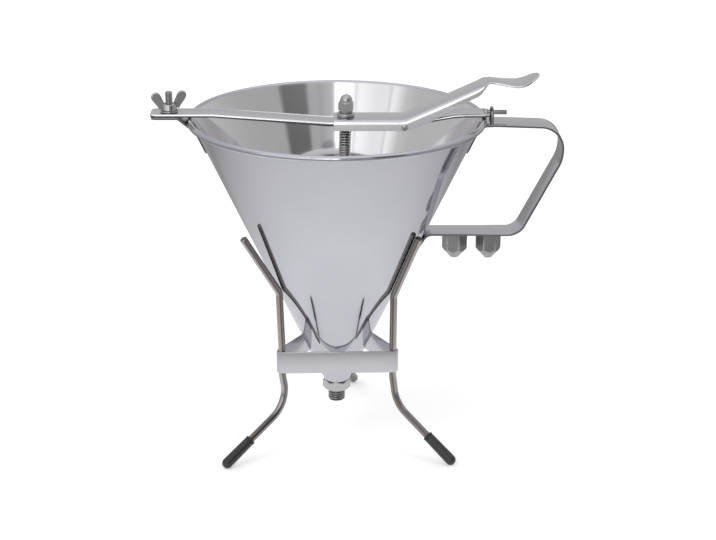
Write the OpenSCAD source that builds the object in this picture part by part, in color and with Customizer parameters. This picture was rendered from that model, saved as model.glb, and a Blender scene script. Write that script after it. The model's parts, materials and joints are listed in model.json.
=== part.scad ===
// Batter dispenser: a sheet-steel funnel that stands in a wire stand. A thumb lever on the
// crossbar lifts a sprung valve rod out of the outlet. Heights are measured from the table,
// and each piece is then lowered so that the origin lies at the outlet's lower end.

/* [Funnel] */
// Outer diameter of the rolled rim
rim_d = 200; // [190:1:215]
// Angle between the funnel's wall and its axis
cone_angle = 24.85; // [24:0.05:26]
// Thickness of the funnel's sheet
cone_t = 0.9; // [0.6:0.1:1.2]
// Diameter of the rolled bead on the rim
bead_d = 4.6; // [3.2:0.1:5]
// Outer radius of the funnel's lower end
throat_r = 9.1; // [8.8:0.1:9.8]

/* [Outlet] */
// Height of the outlet's end above the table
outlet_h = 28.3; // [24:0.1:36]
// Radius of the outlet's thread, measured over its crests
thread_r = 6; // [5.5:0.1:6.5]
// Length of the outlet's thread
thread_len = 8.7; // [7:0.1:11]
// Width of the outlet's hexagon across its flats
hex_af = 17; // [16:0.5:18]
// Height of the outlet's hexagon
hex_h = 6.5; // [5:0.1:9]
// Height of the round neck above the hexagon
neck_h = 1.2; // [0.8:0.1:2]
// Radius of the bore that the batter runs through
outlet_bore_r = 4.2; // [3.5:0.1:4.6]

/* [Stand] */
// Diameter of the stand's wire
leg_d = 5; // [4:0.5:6]
// Distance of the uprights from the funnel's axis
upright_r = 44.4; // [43.5:0.1:48]
// Height of the upper ends of the wires above the table
arm_top_h = 161.5; // [140:0.5:180]
// Distance of the foot tips from the funnel's axis
foot_r = 92.2; // [80:0.1:100]
// Height of the bends above the feet
foot_bend_h = 34.9; // [28:0.1:40]
// Radius of those bends
foot_bend_r = 23; // [10:1:25]
// Radius of the bends that the funnel rests on
seat_bend_r = 8; // [5:0.5:12]
// Height of the flat band round the uprights
band_h = 15.8; // [10:0.1:20]
// Thickness of the band
band_t = 1.2; // [0.8:0.1:2]
// Outer radius of the soft caps on the feet
cap_r = 3.7; // [3.4:0.1:4.5]
// Length of the soft caps
cap_len = 27; // [18:0.5:34]

/* [Crossbar] */
// Width of the crossbar
bar_w = 18; // [16:0.5:19]
// Thickness of the crossbar's sheet
bar_t = 2; // [1.6:0.1:2.2]
// How far the crossbar's edges dip in the middle
bar_dip = 5.4; // [4:0.1:7]
// Height of the raised edges above the crossbar's floor
lip_h = 0.6; // [0.4:0.1:1]
// How far the crossbar reaches past the rim on the wing nut's side
bar_over = 24; // [20:0.5:30]
// Distance of the clamp stud from the rim
stud_out = 11.7; // [9:0.1:14]
// Radius of the clamp stud
stud_r = 2.5; // [2:0.1:3]
// Radius of the pin on the crossbar's other end
end_pin_r = 1.5; // [1.2:0.1:1.8]
// Length of that pin
end_pin_len = 13.4; // [11:0.1:16]

/* [Lever] */
// Outer width of the lever's channel
lever_w = 24.4; // [23:0.1:27]
// Thickness of the lever's sheet
lever_t = 1.2; // [1:0.1:1.5]
// Depth of the lever's side flanges at the rod's end
flange_h = 7; // [6:0.1:8]
// Distance of the lever's pivot from the funnel's axis
pivot_x = 45; // [42:0.5:48]
// Radius of the pivot pin
pivot_r = 1.2; // [1:0.1:1.3]
// Slope of the lever's raised arm
lever_rise = 24.2; // [22:0.2:27]
// Horizontal length of the raised arm
arm_run = 55.5; // [50:0.5:60]
// Horizontal length of the thumb paddle
paddle_run = 34.5; // [30:0.5:40]
// Width of the thumb paddle
paddle_w = 24; // [20:0.5:28]
// Width of the neck before the paddle
paddle_neck_w = 16; // [12:0.5:18]

/* [Valve] */
// Radius of the valve rod
rod_r = 3; // [2.5:0.1:3.2]
// Distance of the rod from the funnel's axis where it passes the lever
rod_top_x = 6; // [0:0.5:8]
// Wire diameter of the return spring
spring_wire = 1; // [0.8:0.1:1.2]
// Pitch of the return spring at rest
spring_pitch = 1.8; // [1.6:0.1:2.4]
// Length of the return spring at rest
spring_len = 48; // [40:1:60]
// Radius of the valve plug
plug_r = 6.9; // [6.4:0.1:7.2]
// Width of the cap nut across its flats
nut_af = 10; // [9:0.5:11]

/* [Handle] */
// Width of the handle's strap at the funnel
strap_w = 20; // [16:0.5:22]
// Width of the handle's grip
grip_w = 26; // [20:0.5:30]
// Thickness of the handle's strap and of the clamp bracket
strap_t = 1.5; // [1.2:0.1:2]
// How far the handle reaches past the rim
handle_reach = 52.6; // [48:0.1:62]
// Height between the handle's two arms
handle_drop = 75.8; // [70:0.2:84]
// Slope of the handle's grip from the vertical
grip_lean = 27; // [24:0.2:32]
// Length of the tabs that lie on the funnel
tab_len = 19; // [14:0.5:26]

/* [Spare nozzles] */
// Width of the nozzles across their flats
nozzle_af = 15; // [14:0.1:17]
// Length of the nozzles
nozzle_len = 17.9; // [14:0.1:20]
// Distances of the two nozzles from the funnel's axis
nozzle_x = [80.9, 104];
// Radii of the two nozzles' jets
jet_r = [1.5, 2.5];

/* [Wing nut] */
// Distance between the tips of the wings
wing_span = 24; // [20:0.5:28]
// Height of the wing nut
wing_h = 12.5; // [12:0.5:18]
// Thickness of the wings
wing_t = 2; // [1.4:0.1:2.6]

/* [Hidden] */
$fn = 72;
// Clearances: weld seams, running fits and pieces that only rest on each other
weld_gap = 0.03;
run_gap = 0.06;
rest_gap = 0.3;

// Funnel and outlet
rim_r = rim_d / 2;
bead_r = bead_d / 2;
wall_x = cone_t / cos(cone_angle);
cone_end_z = outlet_h + thread_len + hex_h + neck_h;
apex_z = cone_end_z - throat_r / tan(cone_angle);
bead_bite = 1.12;
cone_top_r = rim_r - bead_d + bead_bite;
bead_z = apex_z + cone_top_r / tan(cone_angle);
rim_top_z = bead_z + bead_r;
function cone_r(z) = (z - apex_z) * tan(cone_angle);
function cone_z(r) = apex_z + r / tan(cone_angle);
spigot_h = 2;
seat_depth = 3;

// Stand: each wire's azimuth, the lean and the twist of its foot, the height of the bend that
// the funnel rests on, and the flare and the twist of its upper arm
leg_az = [211.9, 330.8, 88];
foot_lean = [-4.7, 3.1, 0];
foot_toe = [6.8, -4.7, -11.3];
leg_seat_z = [118.1, 114.7, 116.6];
leg_flare = [31.8, 25.4, 28];
arm_toe = [0, -15.7, 0];
leg_r = leg_d / 2;
knee_bend_r = 33;
knee_gap = 3;
leg_bends = [0, foot_bend_r, knee_bend_r, knee_bend_r, seat_bend_r, 0];
widest_span = max(leg_az[1] - leg_az[0], leg_az[2] + 360 - leg_az[1], leg_az[0] - leg_az[2]);
band_in = leg_r + weld_gap;
band_top_z = cone_z(upright_r * cos(widest_span / 2) + band_in - rest_gap / cos(cone_angle));

// Crossbar: a flat tab at each end and a dished channel between them
bar_z = rim_top_z + 0.4;
tab_top_z = bar_z + bar_t;
bar_left = rim_r + bar_over;
bar_right = rim_r + 1.9;
channel_left = rim_r - 18;
channel_right = rim_r - 15;
ramp = 8;
lip_t = 1.2;
boss_r = 1.9;
floor_top_z = tab_top_z - bar_dip - lip_h;
floor_mid = pivot_x + 2;
pivot_z = floor_top_z - 1.8;
lip_top_z = floor_top_z + lip_h;
end_pin_z = bar_z + bar_t / 2 + 0.5;
end_pin_x = rim_r + 0.2;

// Lever
plate_gap = 1;
lever_under_z = lip_top_z + plate_gap;
lever_top_z = lever_under_z + lever_t;
lever_end_x = -2.2;
arm_end_x = pivot_x + arm_run;
arm_end_z = lever_top_z + arm_run * tan(lever_rise);
paddle_dip = 5;
paddle_tip_rise = 4.4;
paddle_tip_x = arm_end_x + paddle_run;
head_r = 2.2;

// Valve: the rod leans from the outlet's centre to its hole in the crossbar
lean = atan(rod_top_x / (lever_top_z - cone_end_z));
washer_t = 2.2;
washer_r = 6;
lock_t = 1.8;
lock_r = 4.3;
nut_hex_h = 5.4;
nut_dome_h = 5.2;
nut_dome_r = 4.1;
rod_hole_r = rod_r + 0.3;
spring_r = rod_r + 0.25 + spring_wire / 2;
plug_h = 8;
// Distances along the rod from the outlet's centre
washer_s = (lever_top_z + rest_gap - cone_end_z) / cos(lean);
lock_s = washer_s + washer_t;
nut_s = lock_s + lock_t;
nut_top_s = nut_s + nut_hex_h + nut_dome_h;
spring_top_s = (floor_top_z - bar_t - rest_gap - cone_end_z) / cos(lean);
stop_s = spring_top_s - spring_len;
stop_h = 5;

// Handle and bracket: centre lines of the straps
strap_off = (strap_t / 2 + 0.12) / cos(cone_angle);
arm_z = bead_z - bead_r - 0.4 - strap_t / 2;
arm_crest = 0.9;
low_arm_z = arm_z - handle_drop;
grip_x = rim_r + handle_reach - strap_t / 2;
shoulder_drop = 22.4;
shoulder_in = 1.6;
shoulder_z = arm_z - shoulder_drop;
grip_low_x = grip_x - shoulder_in - (shoulder_z - low_arm_z) * tan(grip_lean);
function on_cone(z) = [cone_r(z) + strap_off, z];
handle_path = [
    on_cone(arm_z - tab_len), on_cone(arm_z), [rim_r + 7, arm_z + arm_crest],
    [grip_x, arm_z - 0.5], [grip_x - shoulder_in, shoulder_z], [grip_low_x, low_arm_z],
    on_cone(low_arm_z), on_cone(low_arm_z - tab_len * 0.9)
];
handle_bends = [0, 7, 20, 15, 22, 12, 7, 0];
// The strap's width at a point of that path: widest along the grip
handle_w = [
    [low_arm_z, strap_w + 1], [low_arm_z + 6, grip_w],
    [shoulder_z, grip_w], [arm_z + 1, strap_w + 2.5]
];
function handle_width(p) =
    strap_w + (lookup(p[1], handle_w) - strap_w) * max(0, min(1, (p[0] - rim_r) / 8));
lug_z = bar_z - strap_t / 2;
lug_bend_x = rim_r + bead_r + 3;
bracket_path = [
    [bar_left - 0.5, lug_z], [lug_bend_x, lug_z],
    on_cone(bead_z - bead_r - 5), on_cone(arm_z - tab_len)
];
bracket_bends = [0, 3, 5, 0];
stud_x = rim_r + stud_out;
wing_washer_r = 6;
wing_washer_t = 1;
hub_h = 4.5;
hub_r = 5.5;
nut_base_z = tab_top_z + 0.05 + wing_washer_t + 0.05;
wing_turn = 20;

// Keeper eye on the handle
eye_wire_r = 1.15;
eye_x = rim_r + 3.5;
eye_r = 5;
eye_arch_z = end_pin_z + end_pin_r + 0.15 + eye_wire_r - eye_r;

// Nozzles
nozzle_top_z = low_arm_z - strap_t / 2;
nozzle_cone_h = 6.6;
nozzle_turn = [-12, 2];
nozzle_tip_r = 3;
nozzle_stud_len = 7;

// ---- shared shapes ----

// The origin is the outlet's lower end
module part() translate([0, 0, -outlet_h]) children();

// Paths lie in the XZ plane. A heading is measured from +Z towards +X, and across() points
// to its right.
function heading(a, b) = atan2(b[0] - a[0], b[1] - a[1]);
function across(h) = [cos(h), -sin(h)];
function turn(a, b, c) =
    let (d = heading(b, c) - heading(a, b)) d > 180 ? d - 360 : d < -180 ? d + 360 : d;

// The stations along a path with round bends: each is a point and the heading there
function stations(path, bends) = [
    for (i = [0 : len(path) - 1])
        let (last = len(path) - 1, h = heading(path[max(i - 1, 0)], path[max(i, 1)]))
            each i == 0 || i == last ? [[path[i], h]]
                : let (
                    t = turn(path[i - 1], path[i], path[i + 1]),
                    r = bends[i] * sign(t),
                    start = path[i] - bends[i] * tan(abs(t) / 2) * [sin(h), cos(h)],
                    hub = start + r * across(h),
                    steps = ceil(abs(t) / 5) + 1
                ) [for (k = [0 : steps]) let (g = h + t * k / steps) [hub - r * across(g), g]]
];

// A strip of sheet that follows a path
module strip(path, bends, t, w) {
    rows = stations(path, bends);
    last = len(rows) - 1;
    translate([0, w / 2, 0]) rotate([90, 0, 0]) linear_extrude(w) polygon(concat(
        [for (s = rows) s[0] + t / 2 * across(s[1])],
        [for (k = [0 : last]) let (s = rows[last - k]) s[0] - t / 2 * across(s[1])]
    ));
}

// A tube of rings, joined in order and closed at both ends
module skin(rings) {
    n = len(rings[0]);
    last = len(rings) - 1;
    polyhedron([for (ring = rings) each ring], concat(
        [for (i = [0 : last - 1], j = [0 : n - 1])
            let (k = (j + 1) % n) [i * n + j, (i + 1) * n + j, (i + 1) * n + k, i * n + k]],
        [[for (j = [0 : n - 1]) j], [for (j = [0 : n - 1]) last * n + n - 1 - j]]
    ), convexity = 10);
}

// A plate in the XZ plane, centred on y
module side_plate(y, t, outline)
    translate([0, y + t / 2, 0]) rotate([90, 0, 0]) linear_extrude(t) polygon(outline);

module hex_prism(af, h) cylinder(h = h, r = af / 2 / cos(30), $fn = 6);

// A frame that stands on the outlet's centre and leans with the valve rod
module rod_frame() part() translate([0, 0, cone_end_z]) rotate([0, lean, 0]) children();

// ---- stand ----

function unit(v) = v / norm(v);
function aslant(angle, length) = length * [cos(angle), sin(angle), 0];

// The corners of a wire from its foot to its upper end, with +X away from the funnel's axis
function leg_path(i) =
    let (
        out = (leg_r + rest_gap) / cos(cone_angle),
        // A round bend stays this much farther from the wall than its corner would
        spare = seat_bend_r * (cos(leg_flare[i] / 2 - cone_angle) / cos(leg_flare[i] / 2) - 1),
        seat = [cone_r(leg_seat_z[i]) + out - spare / cos(cone_angle), 0, leg_seat_z[i]],
        rise = arm_top_h - leg_seat_z[i]
    ) [
        [upright_r, 0, cap_r] + aslant(foot_toe[i], foot_r - upright_r),
        [upright_r + foot_lean[i], 0, foot_bend_h],
        [upright_r, 0, band_top_z - band_h - knee_gap],
        [upright_r, 0, band_top_z + knee_gap],
        seat,
        seat + [0, 0, rise] + aslant(arm_toe[i], rise * tan(leg_flare[i]))
    ];

// The stations along a wire with round bends: each is a point and the direction there
function wire_stations(path, bends) = [
    for (i = [0 : len(path) - 1])
        let (
            last = len(path) - 1,
            a = unit(path[max(i, 1)] - path[max(i, 1) - 1]),
            b = unit(path[min(i, last - 1) + 1] - path[min(i, last - 1)]),
            t = acos(min(a * b, 1))
        )
            each t < 0.5 ? [[path[i], unit(a + b)]]
                : let (
                    start = path[i] - bends[i] * tan(t / 2) * a,
                    side = unit(b - (a * b) * a),
                    steps = ceil(t / 5) + 1
                ) [for (k = [0 : steps]) let (g = t * k / steps) [
                    start + bends[i] * (sin(g) * a + (1 - cos(g)) * side),
                    cos(g) * a + sin(g) * side
                ]]
];

// Each wire is swept as one piece from its foot to its upper end
module leg(i) color("lightsteelblue") part() rotate([0, 0, leg_az[i]])
    skin([for (s = wire_stations(leg_path(i), leg_bends))
        let (u = unit(cross([0, 1, 0], s[1])), v = cross(s[1], u))
            [for (b = [0 : 18 : 342]) s[0] + leg_r * (cos(b) * u - sin(b) * v)]]);

// A cap is slipped over the wire's foot and follows its slope
module foot_cap(i) color("dimgray") part() rotate([0, 0, leg_az[i]]) {
    path = leg_path(i);
    up = unit(path[1] - path[0]);
    translate(path[0]) rotate([0, acos(up[2]), atan2(up[1], up[0])]) difference() {
        union() {
            sphere(cap_r);
            cylinder(h = cap_len - cap_r, r = cap_r);
        }
        cylinder(h = cap_len, r = leg_r + weld_gap);
    }
}

function leg_at(i) = upright_r * [cos(leg_az[i % 3]), sin(leg_az[i % 3])];
function side_angle(i) =
    let (d = leg_at(i + 1) - leg_at(i)) atan2(d[1], d[0]);
function wrap(a) = a < 0 ? a + 360 : a;

// The loop that a band follows round the three uprights, at a distance r from their axes
function band_loop(r) = [
    for (i = [0 : 2], k = [0 : 16])
        let (a = side_angle(i + 2) - 90, g = a + wrap(side_angle(i) - side_angle(i + 2)) * k / 16)
        leg_at(i) + r * [cos(g), sin(g)]
];

module stand_band() color("silver") part() translate([0, 0, band_top_z - band_h])
    linear_extrude(band_h) difference() {
        polygon(band_loop(band_in + band_t));
        polygon(band_loop(band_in));
    }

// ---- funnel ----

module funnel_cone() color("gainsboro") part() rotate_extrude($fn = 144) {
    polygon([
        [throat_r - wall_x, cone_end_z], [throat_r, cone_end_z],
        [cone_r(bead_z + bead_r / 2), bead_z + bead_r / 2],
        [cone_r(bead_z + bead_r / 2) - wall_x, bead_z + bead_r / 2]
    ]);
    translate([rim_r - bead_r, bead_z]) circle(bead_r, $fn = 32);
}

module outlet_fitting() color("lightgray") part() difference() {
    union() {
        translate([0, 0, outlet_h]) cylinder(h = thread_len + 0.5, r = thread_r);
        translate([0, 0, outlet_h + thread_len]) intersection() {
            hex_prism(hex_af, hex_h);
            chamfered_disc(hex_af / 2 / cos(30), hex_h, hex_af * 0.08);
        }
        translate([0, 0, cone_end_z - neck_h - 0.5])
            cylinder(h = neck_h + 0.5, r = throat_r - wall_x - 0.4);
        // The spigot fills the funnel's lower end
        translate([0, 0, cone_end_z]) cylinder(
            h = spigot_h,
            r1 = throat_r - wall_x - weld_gap,
            r2 = cone_r(cone_end_z + spigot_h) - wall_x - weld_gap
        );
    }
    translate([0, 0, outlet_h - 1]) cylinder(h = cone_end_z - outlet_h + 2, r = outlet_bore_r);
    translate([0, 0, cone_end_z - seat_depth])
        cylinder(h = seat_depth + spigot_h + 0.01, r1 = outlet_bore_r, r2 = plug_r + 0.5);
}

// A disc with both edges chamfered
module chamfered_disc(r, h, c) rotate_extrude() polygon([
    [0, 0], [r - c, 0], [r, c * 0.6], [r, h - c * 0.6], [r - c, h], [0, h]
]);

module clamp_bracket() color("silver") part() mirror([1, 0, 0]) difference() {
    strip(bracket_path, bracket_bends, strap_t, strap_w);
    translate([stud_x, 0, lug_z - strap_t]) cylinder(h = strap_t * 2, r = stud_r + weld_gap);
}

module clamp_stud() color("darkgray") part()
    translate([-stud_x, 0, lug_z - strap_t / 2])
        cylinder(h = nut_base_z + wing_h - lug_z + strap_t / 2, r = stud_r);

module wing_washer() color("darkgray") part() translate([-stud_x, 0, tab_top_z + 0.05])
    difference() {
        cylinder(h = wing_washer_t, r = wing_washer_r);
        translate([0, 0, -1]) cylinder(h = wing_washer_t + 2, r = stud_r + 0.2);
    }

module wing_nut() color("lightgray") part() translate([-stud_x, 0, nut_base_z])
    rotate([0, 0, wing_turn]) difference() {
        union() {
            cylinder(h = hub_h, r1 = hub_r, r2 = hub_r - 0.9);
            for (side = [0, 1]) mirror([side, 0, 0]) wing();
        }
        translate([0, 0, -1]) cylinder(h = wing_h + 2, r = stud_r + run_gap);
    }

module wing() {
    tip_r = wing_span * 0.13;
    tip = [wing_span / 2 - tip_r, wing_h - tip_r];
    root = [stud_r + 2.4, 1.8];
    rise = atan2(tip[1] - root[1], tip[0] - root[0]);
    translate([0, wing_t / 2, 0]) rotate([90, 0, 0]) linear_extrude(wing_t) {
        translate(tip) circle(tip_r);
        translate(root) rotate(rise) translate([0, -tip_r])
            square([norm(tip - root), tip_r * 2]);
    }
}

// ---- handle ----

module handle_strap() color("silver") part() difference() {
    skin([for (s = stations(handle_path, handle_bends))
        let (n = across(s[1]) * strap_t / 2, w = handle_width(s[0]) / 2)
            [for (c = [[1, 1], [1, -1], [-1, -1], [-1, 1]])
                [s[0][0] + c[0] * n[0], c[1] * w, s[0][1] + c[0] * n[1]]]]);
    for (y = [-eye_r, eye_r]) translate([eye_x, y, arm_z - strap_t])
        cylinder(h = strap_t * 3, r = eye_wire_r + weld_gap);
}

module keeper_eye() color("darkgray") part() translate([eye_x, 0, 0]) {
    for (y = [-eye_r, eye_r]) translate([0, y, arm_z - strap_t / 2])
        cylinder(h = eye_arch_z - arm_z + strap_t / 2, r = eye_wire_r);
    translate([0, 0, eye_arch_z]) rotate([90, 0, 90])
        rotate_extrude(angle = 180) translate([eye_r, 0]) circle(eye_wire_r);
}

module nozzle_stud(i) color("darkgray") part()
    translate([nozzle_x[i], 0, nozzle_top_z - nozzle_stud_len])
        cylinder(h = nozzle_stud_len, r = thread_r);

module nozzle(i) color("lightgray") part()
    translate([nozzle_x[i], 0, nozzle_top_z - rest_gap / 3 - nozzle_len])
    rotate([0, 0, nozzle_turn[i]]) difference() {
        corner = nozzle_af / 2 / cos(30);
        intersection() {
            hex_prism(nozzle_af, nozzle_len);
            cylinder(h = nozzle_len, r1 = nozzle_tip_r,
                r2 = nozzle_tip_r + (corner - nozzle_tip_r) * nozzle_len / nozzle_cone_h);
        }
        translate([0, 0, nozzle_len - nozzle_stud_len - 0.5])
            cylinder(h = nozzle_stud_len + 1.5, r = thread_r + run_gap);
        translate([0, 0, -1]) cylinder(h = nozzle_len, r = jet_r[i]);
    }

// ---- crossbar ----

module crossbar() color("silver") part() difference() {
    union() {
        mid = bar_t / 2;
        strip([
            [-bar_left, bar_z + mid], [-channel_left, bar_z + mid],
            [-channel_left + ramp, tab_top_z - lip_h - mid],
            [-lever_w / 4, floor_top_z - mid], [floor_mid, floor_top_z - mid],
            [channel_right - ramp, tab_top_z - lip_h - mid], [channel_right, bar_z + mid],
            [bar_right, bar_z + mid]
        ], [0, 2, 2, 40, 30, 2, 2, 0], bar_t, bar_w);
        for (y = [-1, 1]) side_plate(y * (bar_w - lip_t) / 2, lip_t, [
            [-channel_left, bar_z + bar_t * 0.3], [-channel_left, tab_top_z],
            [-lever_w / 4, lip_top_z], [floor_mid, lip_top_z], [channel_right, tab_top_z],
            [channel_right, bar_z + bar_t * 0.3],
            [channel_right - ramp, tab_top_z - lip_h - mid],
            [floor_mid, floor_top_z - mid], [-lever_w / 4, floor_top_z - mid],
            [-channel_left + ramp, tab_top_z - lip_h - mid]
        ]);
        // A block under the floor carries the pivot pin
        translate([pivot_x - boss_r * 2.3, -bar_w / 2 + 0.5, pivot_z - boss_r])
            cube([boss_r * 4.6, bar_w - 1, floor_top_z - mid - pivot_z + boss_r]);
    }
    // Holes for the clamp stud, the valve rod, the lever's pivot pin and the end pin
    translate([-stud_x, 0, bar_z - 1]) cylinder(h = bar_t + 2, r = stud_r + 0.3);
    rod_hole();
    translate([pivot_x, 0, pivot_z]) rotate([90, 0, 0])
        cylinder(h = bar_w + 2, r = pivot_r + run_gap, center = true);
    translate([end_pin_x, 0, end_pin_z]) rotate([0, 90, 0])
        cylinder(h = bar_w, r = end_pin_r + weld_gap);
}

module rod_hole() translate([0, 0, cone_end_z]) rotate([0, lean, 0])
    translate([0, 0, spring_top_s - 2]) cylinder(h = 8, r = rod_hole_r);

module crossbar_pin() color("darkgray") part() translate([end_pin_x, 0, end_pin_z])
    rotate([0, 90, 0]) cylinder(h = end_pin_len, r = end_pin_r);

// ---- lever ----

module lever() color("silver") part() difference() {
    union() {
        intersection() {
            lever_sheet();
            translate([0, 0, floor_top_z]) linear_extrude(60) lever_plan();
        }
        for (y = [-1, 1]) side_plate(y * (lever_w - lever_t) / 2, lever_t, flange_outline());
        for (y = [-1, 1]) translate([pivot_x, y * (lever_w - lever_t) / 2, pivot_z])
            rotate([90, 0, 0]) cylinder(h = lever_t, r = head_r, center = true);
    }
    // A slot for the rod, so that the plate can tilt round it
    for (dx = [0, -1.6]) translate([rod_top_x + dx, 0, lever_under_z - 1])
        cylinder(h = lever_t + 2, r = rod_r + 0.45);
    translate([rod_top_x - 0.8, 0, lever_top_z - lever_t / 2])
        cube([1.6, 2 * rod_r + 0.9, lever_t + 2], center = true);
    translate([pivot_x, 0, pivot_z]) rotate([90, 0, 0])
        cylinder(h = lever_w + 2, r = pivot_r + weld_gap, center = true);
}

module lever_sheet() {
    mid = lever_t / 2;
    dip_x = arm_end_x + paddle_run * 0.47;
    strip([
        [lever_end_x, lever_top_z - mid], [pivot_x, lever_top_z - mid],
        [arm_end_x, arm_end_z - mid], [dip_x, arm_end_z - paddle_dip - mid],
        [paddle_tip_x, arm_end_z + paddle_tip_rise - mid]
    ], [0, 9, 3, 22, 0], lever_t, lever_w + 6);
}

// The lever's plan: a straight channel, a neck and a rounded paddle
module lever_plan() {
    neck = paddle_neck_w / 2;
    blade = paddle_w / 2;
    translate([paddle_tip_x - blade, 0]) circle(blade);
    polygon([
        [lever_end_x - 1, -lever_w / 2], [arm_end_x - 3, -lever_w / 2], [arm_end_x, -neck],
        [arm_end_x + 4, -neck], [paddle_tip_x - blade - 3, -blade * 0.97],
        [paddle_tip_x - blade, -blade], [paddle_tip_x - blade, blade],
        [paddle_tip_x - blade - 3, blade * 0.97], [arm_end_x + 4, neck],
        [arm_end_x, neck], [arm_end_x - 3, lever_w / 2], [lever_end_x - 1, lever_w / 2]
    ]);
}

function flange_outline() =
    let (
        top = lever_top_z - lever_t / 2,
        slope = tan(lever_rise),
        low = lever_top_z - flange_h,
        cut = arm_run - 7
    ) [
        [lever_end_x, low], [lever_end_x, top], [pivot_x, top],
        [arm_end_x - 3, top + (arm_run - 3) * slope],
        [pivot_x + cut, low + cut * slope + 1.6], [pivot_x + cut * 0.7, low + cut * 0.7 * slope + 1.1],
        [pivot_x + cut * 0.31, low + cut * 0.31 * slope - 1.6], [pivot_x + 3, low]
    ];

module pivot_pin() color("gray") part() translate([pivot_x, 0, pivot_z]) rotate([90, 0, 0]) {
    cylinder(h = lever_w, r = pivot_r, center = true);
    for (s = [-1, 1]) translate([0, 0, s * (lever_w / 2 + 0.5)])
        cylinder(h = 1, r = head_r, center = true);
}

// ---- valve ----

module valve_rod() color("darkgray") rod_frame()
    cylinder(h = nut_top_s - nut_dome_r, r = rod_r);

module valve_plug() color("lightgray") rod_frame() rotate_extrude() polygon([
    [0, -seat_depth], [outlet_bore_r - 0.6, -seat_depth], [plug_r, spigot_h],
    [plug_r, plug_h], [rod_r + 0.8, plug_h + 5], [rod_r + weld_gap, plug_h + 5],
    [rod_r + weld_gap, -weld_gap], [0, -weld_gap]
]);

module spring_stop() color("gray") rod_frame() translate([0, 0, stop_s - stop_h]) difference() {
    cylinder(h = stop_h - 0.1, r = spring_r + 1.2);
    translate([0, 0, -1]) cylinder(h = stop_h + 2, r = rod_r + weld_gap);
}

// The spring is one swept wire
module return_spring() color("gray") rod_frame() {
    steps = 9;
    wire_r = spring_wire / 2;
    turns = (spring_len - spring_wire - 0.2) / spring_pitch;
    rings = round(turns * steps);
    skin([for (i = [0 : rings]) let (a = 360 * turns * i / rings) [for (b = [0 : 72 : 288])
        let (r = spring_r + wire_r * cos(b)) [
            r * cos(a), r * sin(a),
            stop_s + wire_r + 0.1 + spring_pitch * turns * i / rings + wire_r * sin(b)
        ]]]);
}

module lift_washer() color("silver") rod_frame() translate([0, 0, washer_s]) difference() {
    cylinder(h = washer_t, r = washer_r);
    translate([0, 0, -1]) cylinder(h = washer_t + 2, r = rod_r + weld_gap);
}

module lock_washer() color("gray") rod_frame() translate([0, 0, lock_s]) difference() {
    cylinder(h = lock_t, r = lock_r);
    translate([0, 0, -1]) cylinder(h = lock_t + 2, r = rod_r + weld_gap);
}

module cap_nut() color("lightgray") rod_frame() translate([0, 0, nut_s]) difference() {
    union() {
        intersection() {
            hex_prism(nut_af, nut_hex_h);
            chamfered_disc(nut_af / 2 / cos(30), nut_hex_h, nut_af * 0.07);
        }
        cylinder(h = nut_hex_h + nut_dome_h - nut_dome_r, r = nut_dome_r);
        translate([0, 0, nut_hex_h + nut_dome_h - nut_dome_r]) sphere(nut_dome_r);
    }
    translate([0, 0, -1]) cylinder(
        h = nut_hex_h + nut_dome_h - nut_dome_r + 1 + weld_gap, r = rod_r + weld_gap);
}

leg(0);  // leg_front_left
leg(1);  // leg_front_right
leg(2);  // leg_rear
stand_band();
foot_cap(0);  // foot_cap_left
foot_cap(1);  // foot_cap_right
foot_cap(2);  // foot_cap_rear
funnel_cone();
outlet_fitting();
clamp_bracket();
clamp_stud();
wing_washer();
wing_nut();
handle_strap();
keeper_eye();
nozzle_stud(0);  // nozzle_stud_a
nozzle_stud(1);  // nozzle_stud_b
nozzle(0);  // nozzle_a
nozzle(1);  // nozzle_b
crossbar();
crossbar_pin();
lever();
pivot_pin();
valve_rod();
valve_plug();
spring_stop();
return_spring();
lift_washer();
lock_washer();
cap_nut();
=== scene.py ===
import json
import math

import bmesh
import bpy
from mathutils import Matrix, Vector


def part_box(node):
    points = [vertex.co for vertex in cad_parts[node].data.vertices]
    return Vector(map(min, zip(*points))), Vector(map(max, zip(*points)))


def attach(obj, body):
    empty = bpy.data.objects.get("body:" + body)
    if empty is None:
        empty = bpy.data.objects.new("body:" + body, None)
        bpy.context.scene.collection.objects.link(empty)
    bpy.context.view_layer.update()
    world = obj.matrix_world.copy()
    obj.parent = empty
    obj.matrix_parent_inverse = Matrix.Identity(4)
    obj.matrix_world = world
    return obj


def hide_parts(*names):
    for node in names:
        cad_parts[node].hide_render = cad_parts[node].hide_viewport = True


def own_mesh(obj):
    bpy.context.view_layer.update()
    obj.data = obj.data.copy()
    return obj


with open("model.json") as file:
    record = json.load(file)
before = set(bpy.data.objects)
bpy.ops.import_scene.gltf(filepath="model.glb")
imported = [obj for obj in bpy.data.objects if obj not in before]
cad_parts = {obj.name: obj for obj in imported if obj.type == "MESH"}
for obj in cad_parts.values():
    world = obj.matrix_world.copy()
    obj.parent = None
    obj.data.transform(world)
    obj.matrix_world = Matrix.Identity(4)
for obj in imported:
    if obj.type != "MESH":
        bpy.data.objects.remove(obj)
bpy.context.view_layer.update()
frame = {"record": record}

bodyOf = {}
for bodyName, members in frame["record"]["behaviour"]["bodies"].items():
    for member in members:
        bodyOf[member] = bodyName

# Sizes below are in millimetres, and heights are measured from the table.
floorZ = min(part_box("foot_cap_" + side)[0].z for side in ("left", "right", "rear"))
sharpAngle = math.radians(32)


def toFrame(point):
    return Vector((point[0] * 0.001, point[1] * 0.001, point[2] * 0.001 + floorZ))


def addObject(name, data):
    item = bpy.data.objects.new(name, data)
    bpy.context.scene.collection.objects.link(item)
    return item


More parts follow.
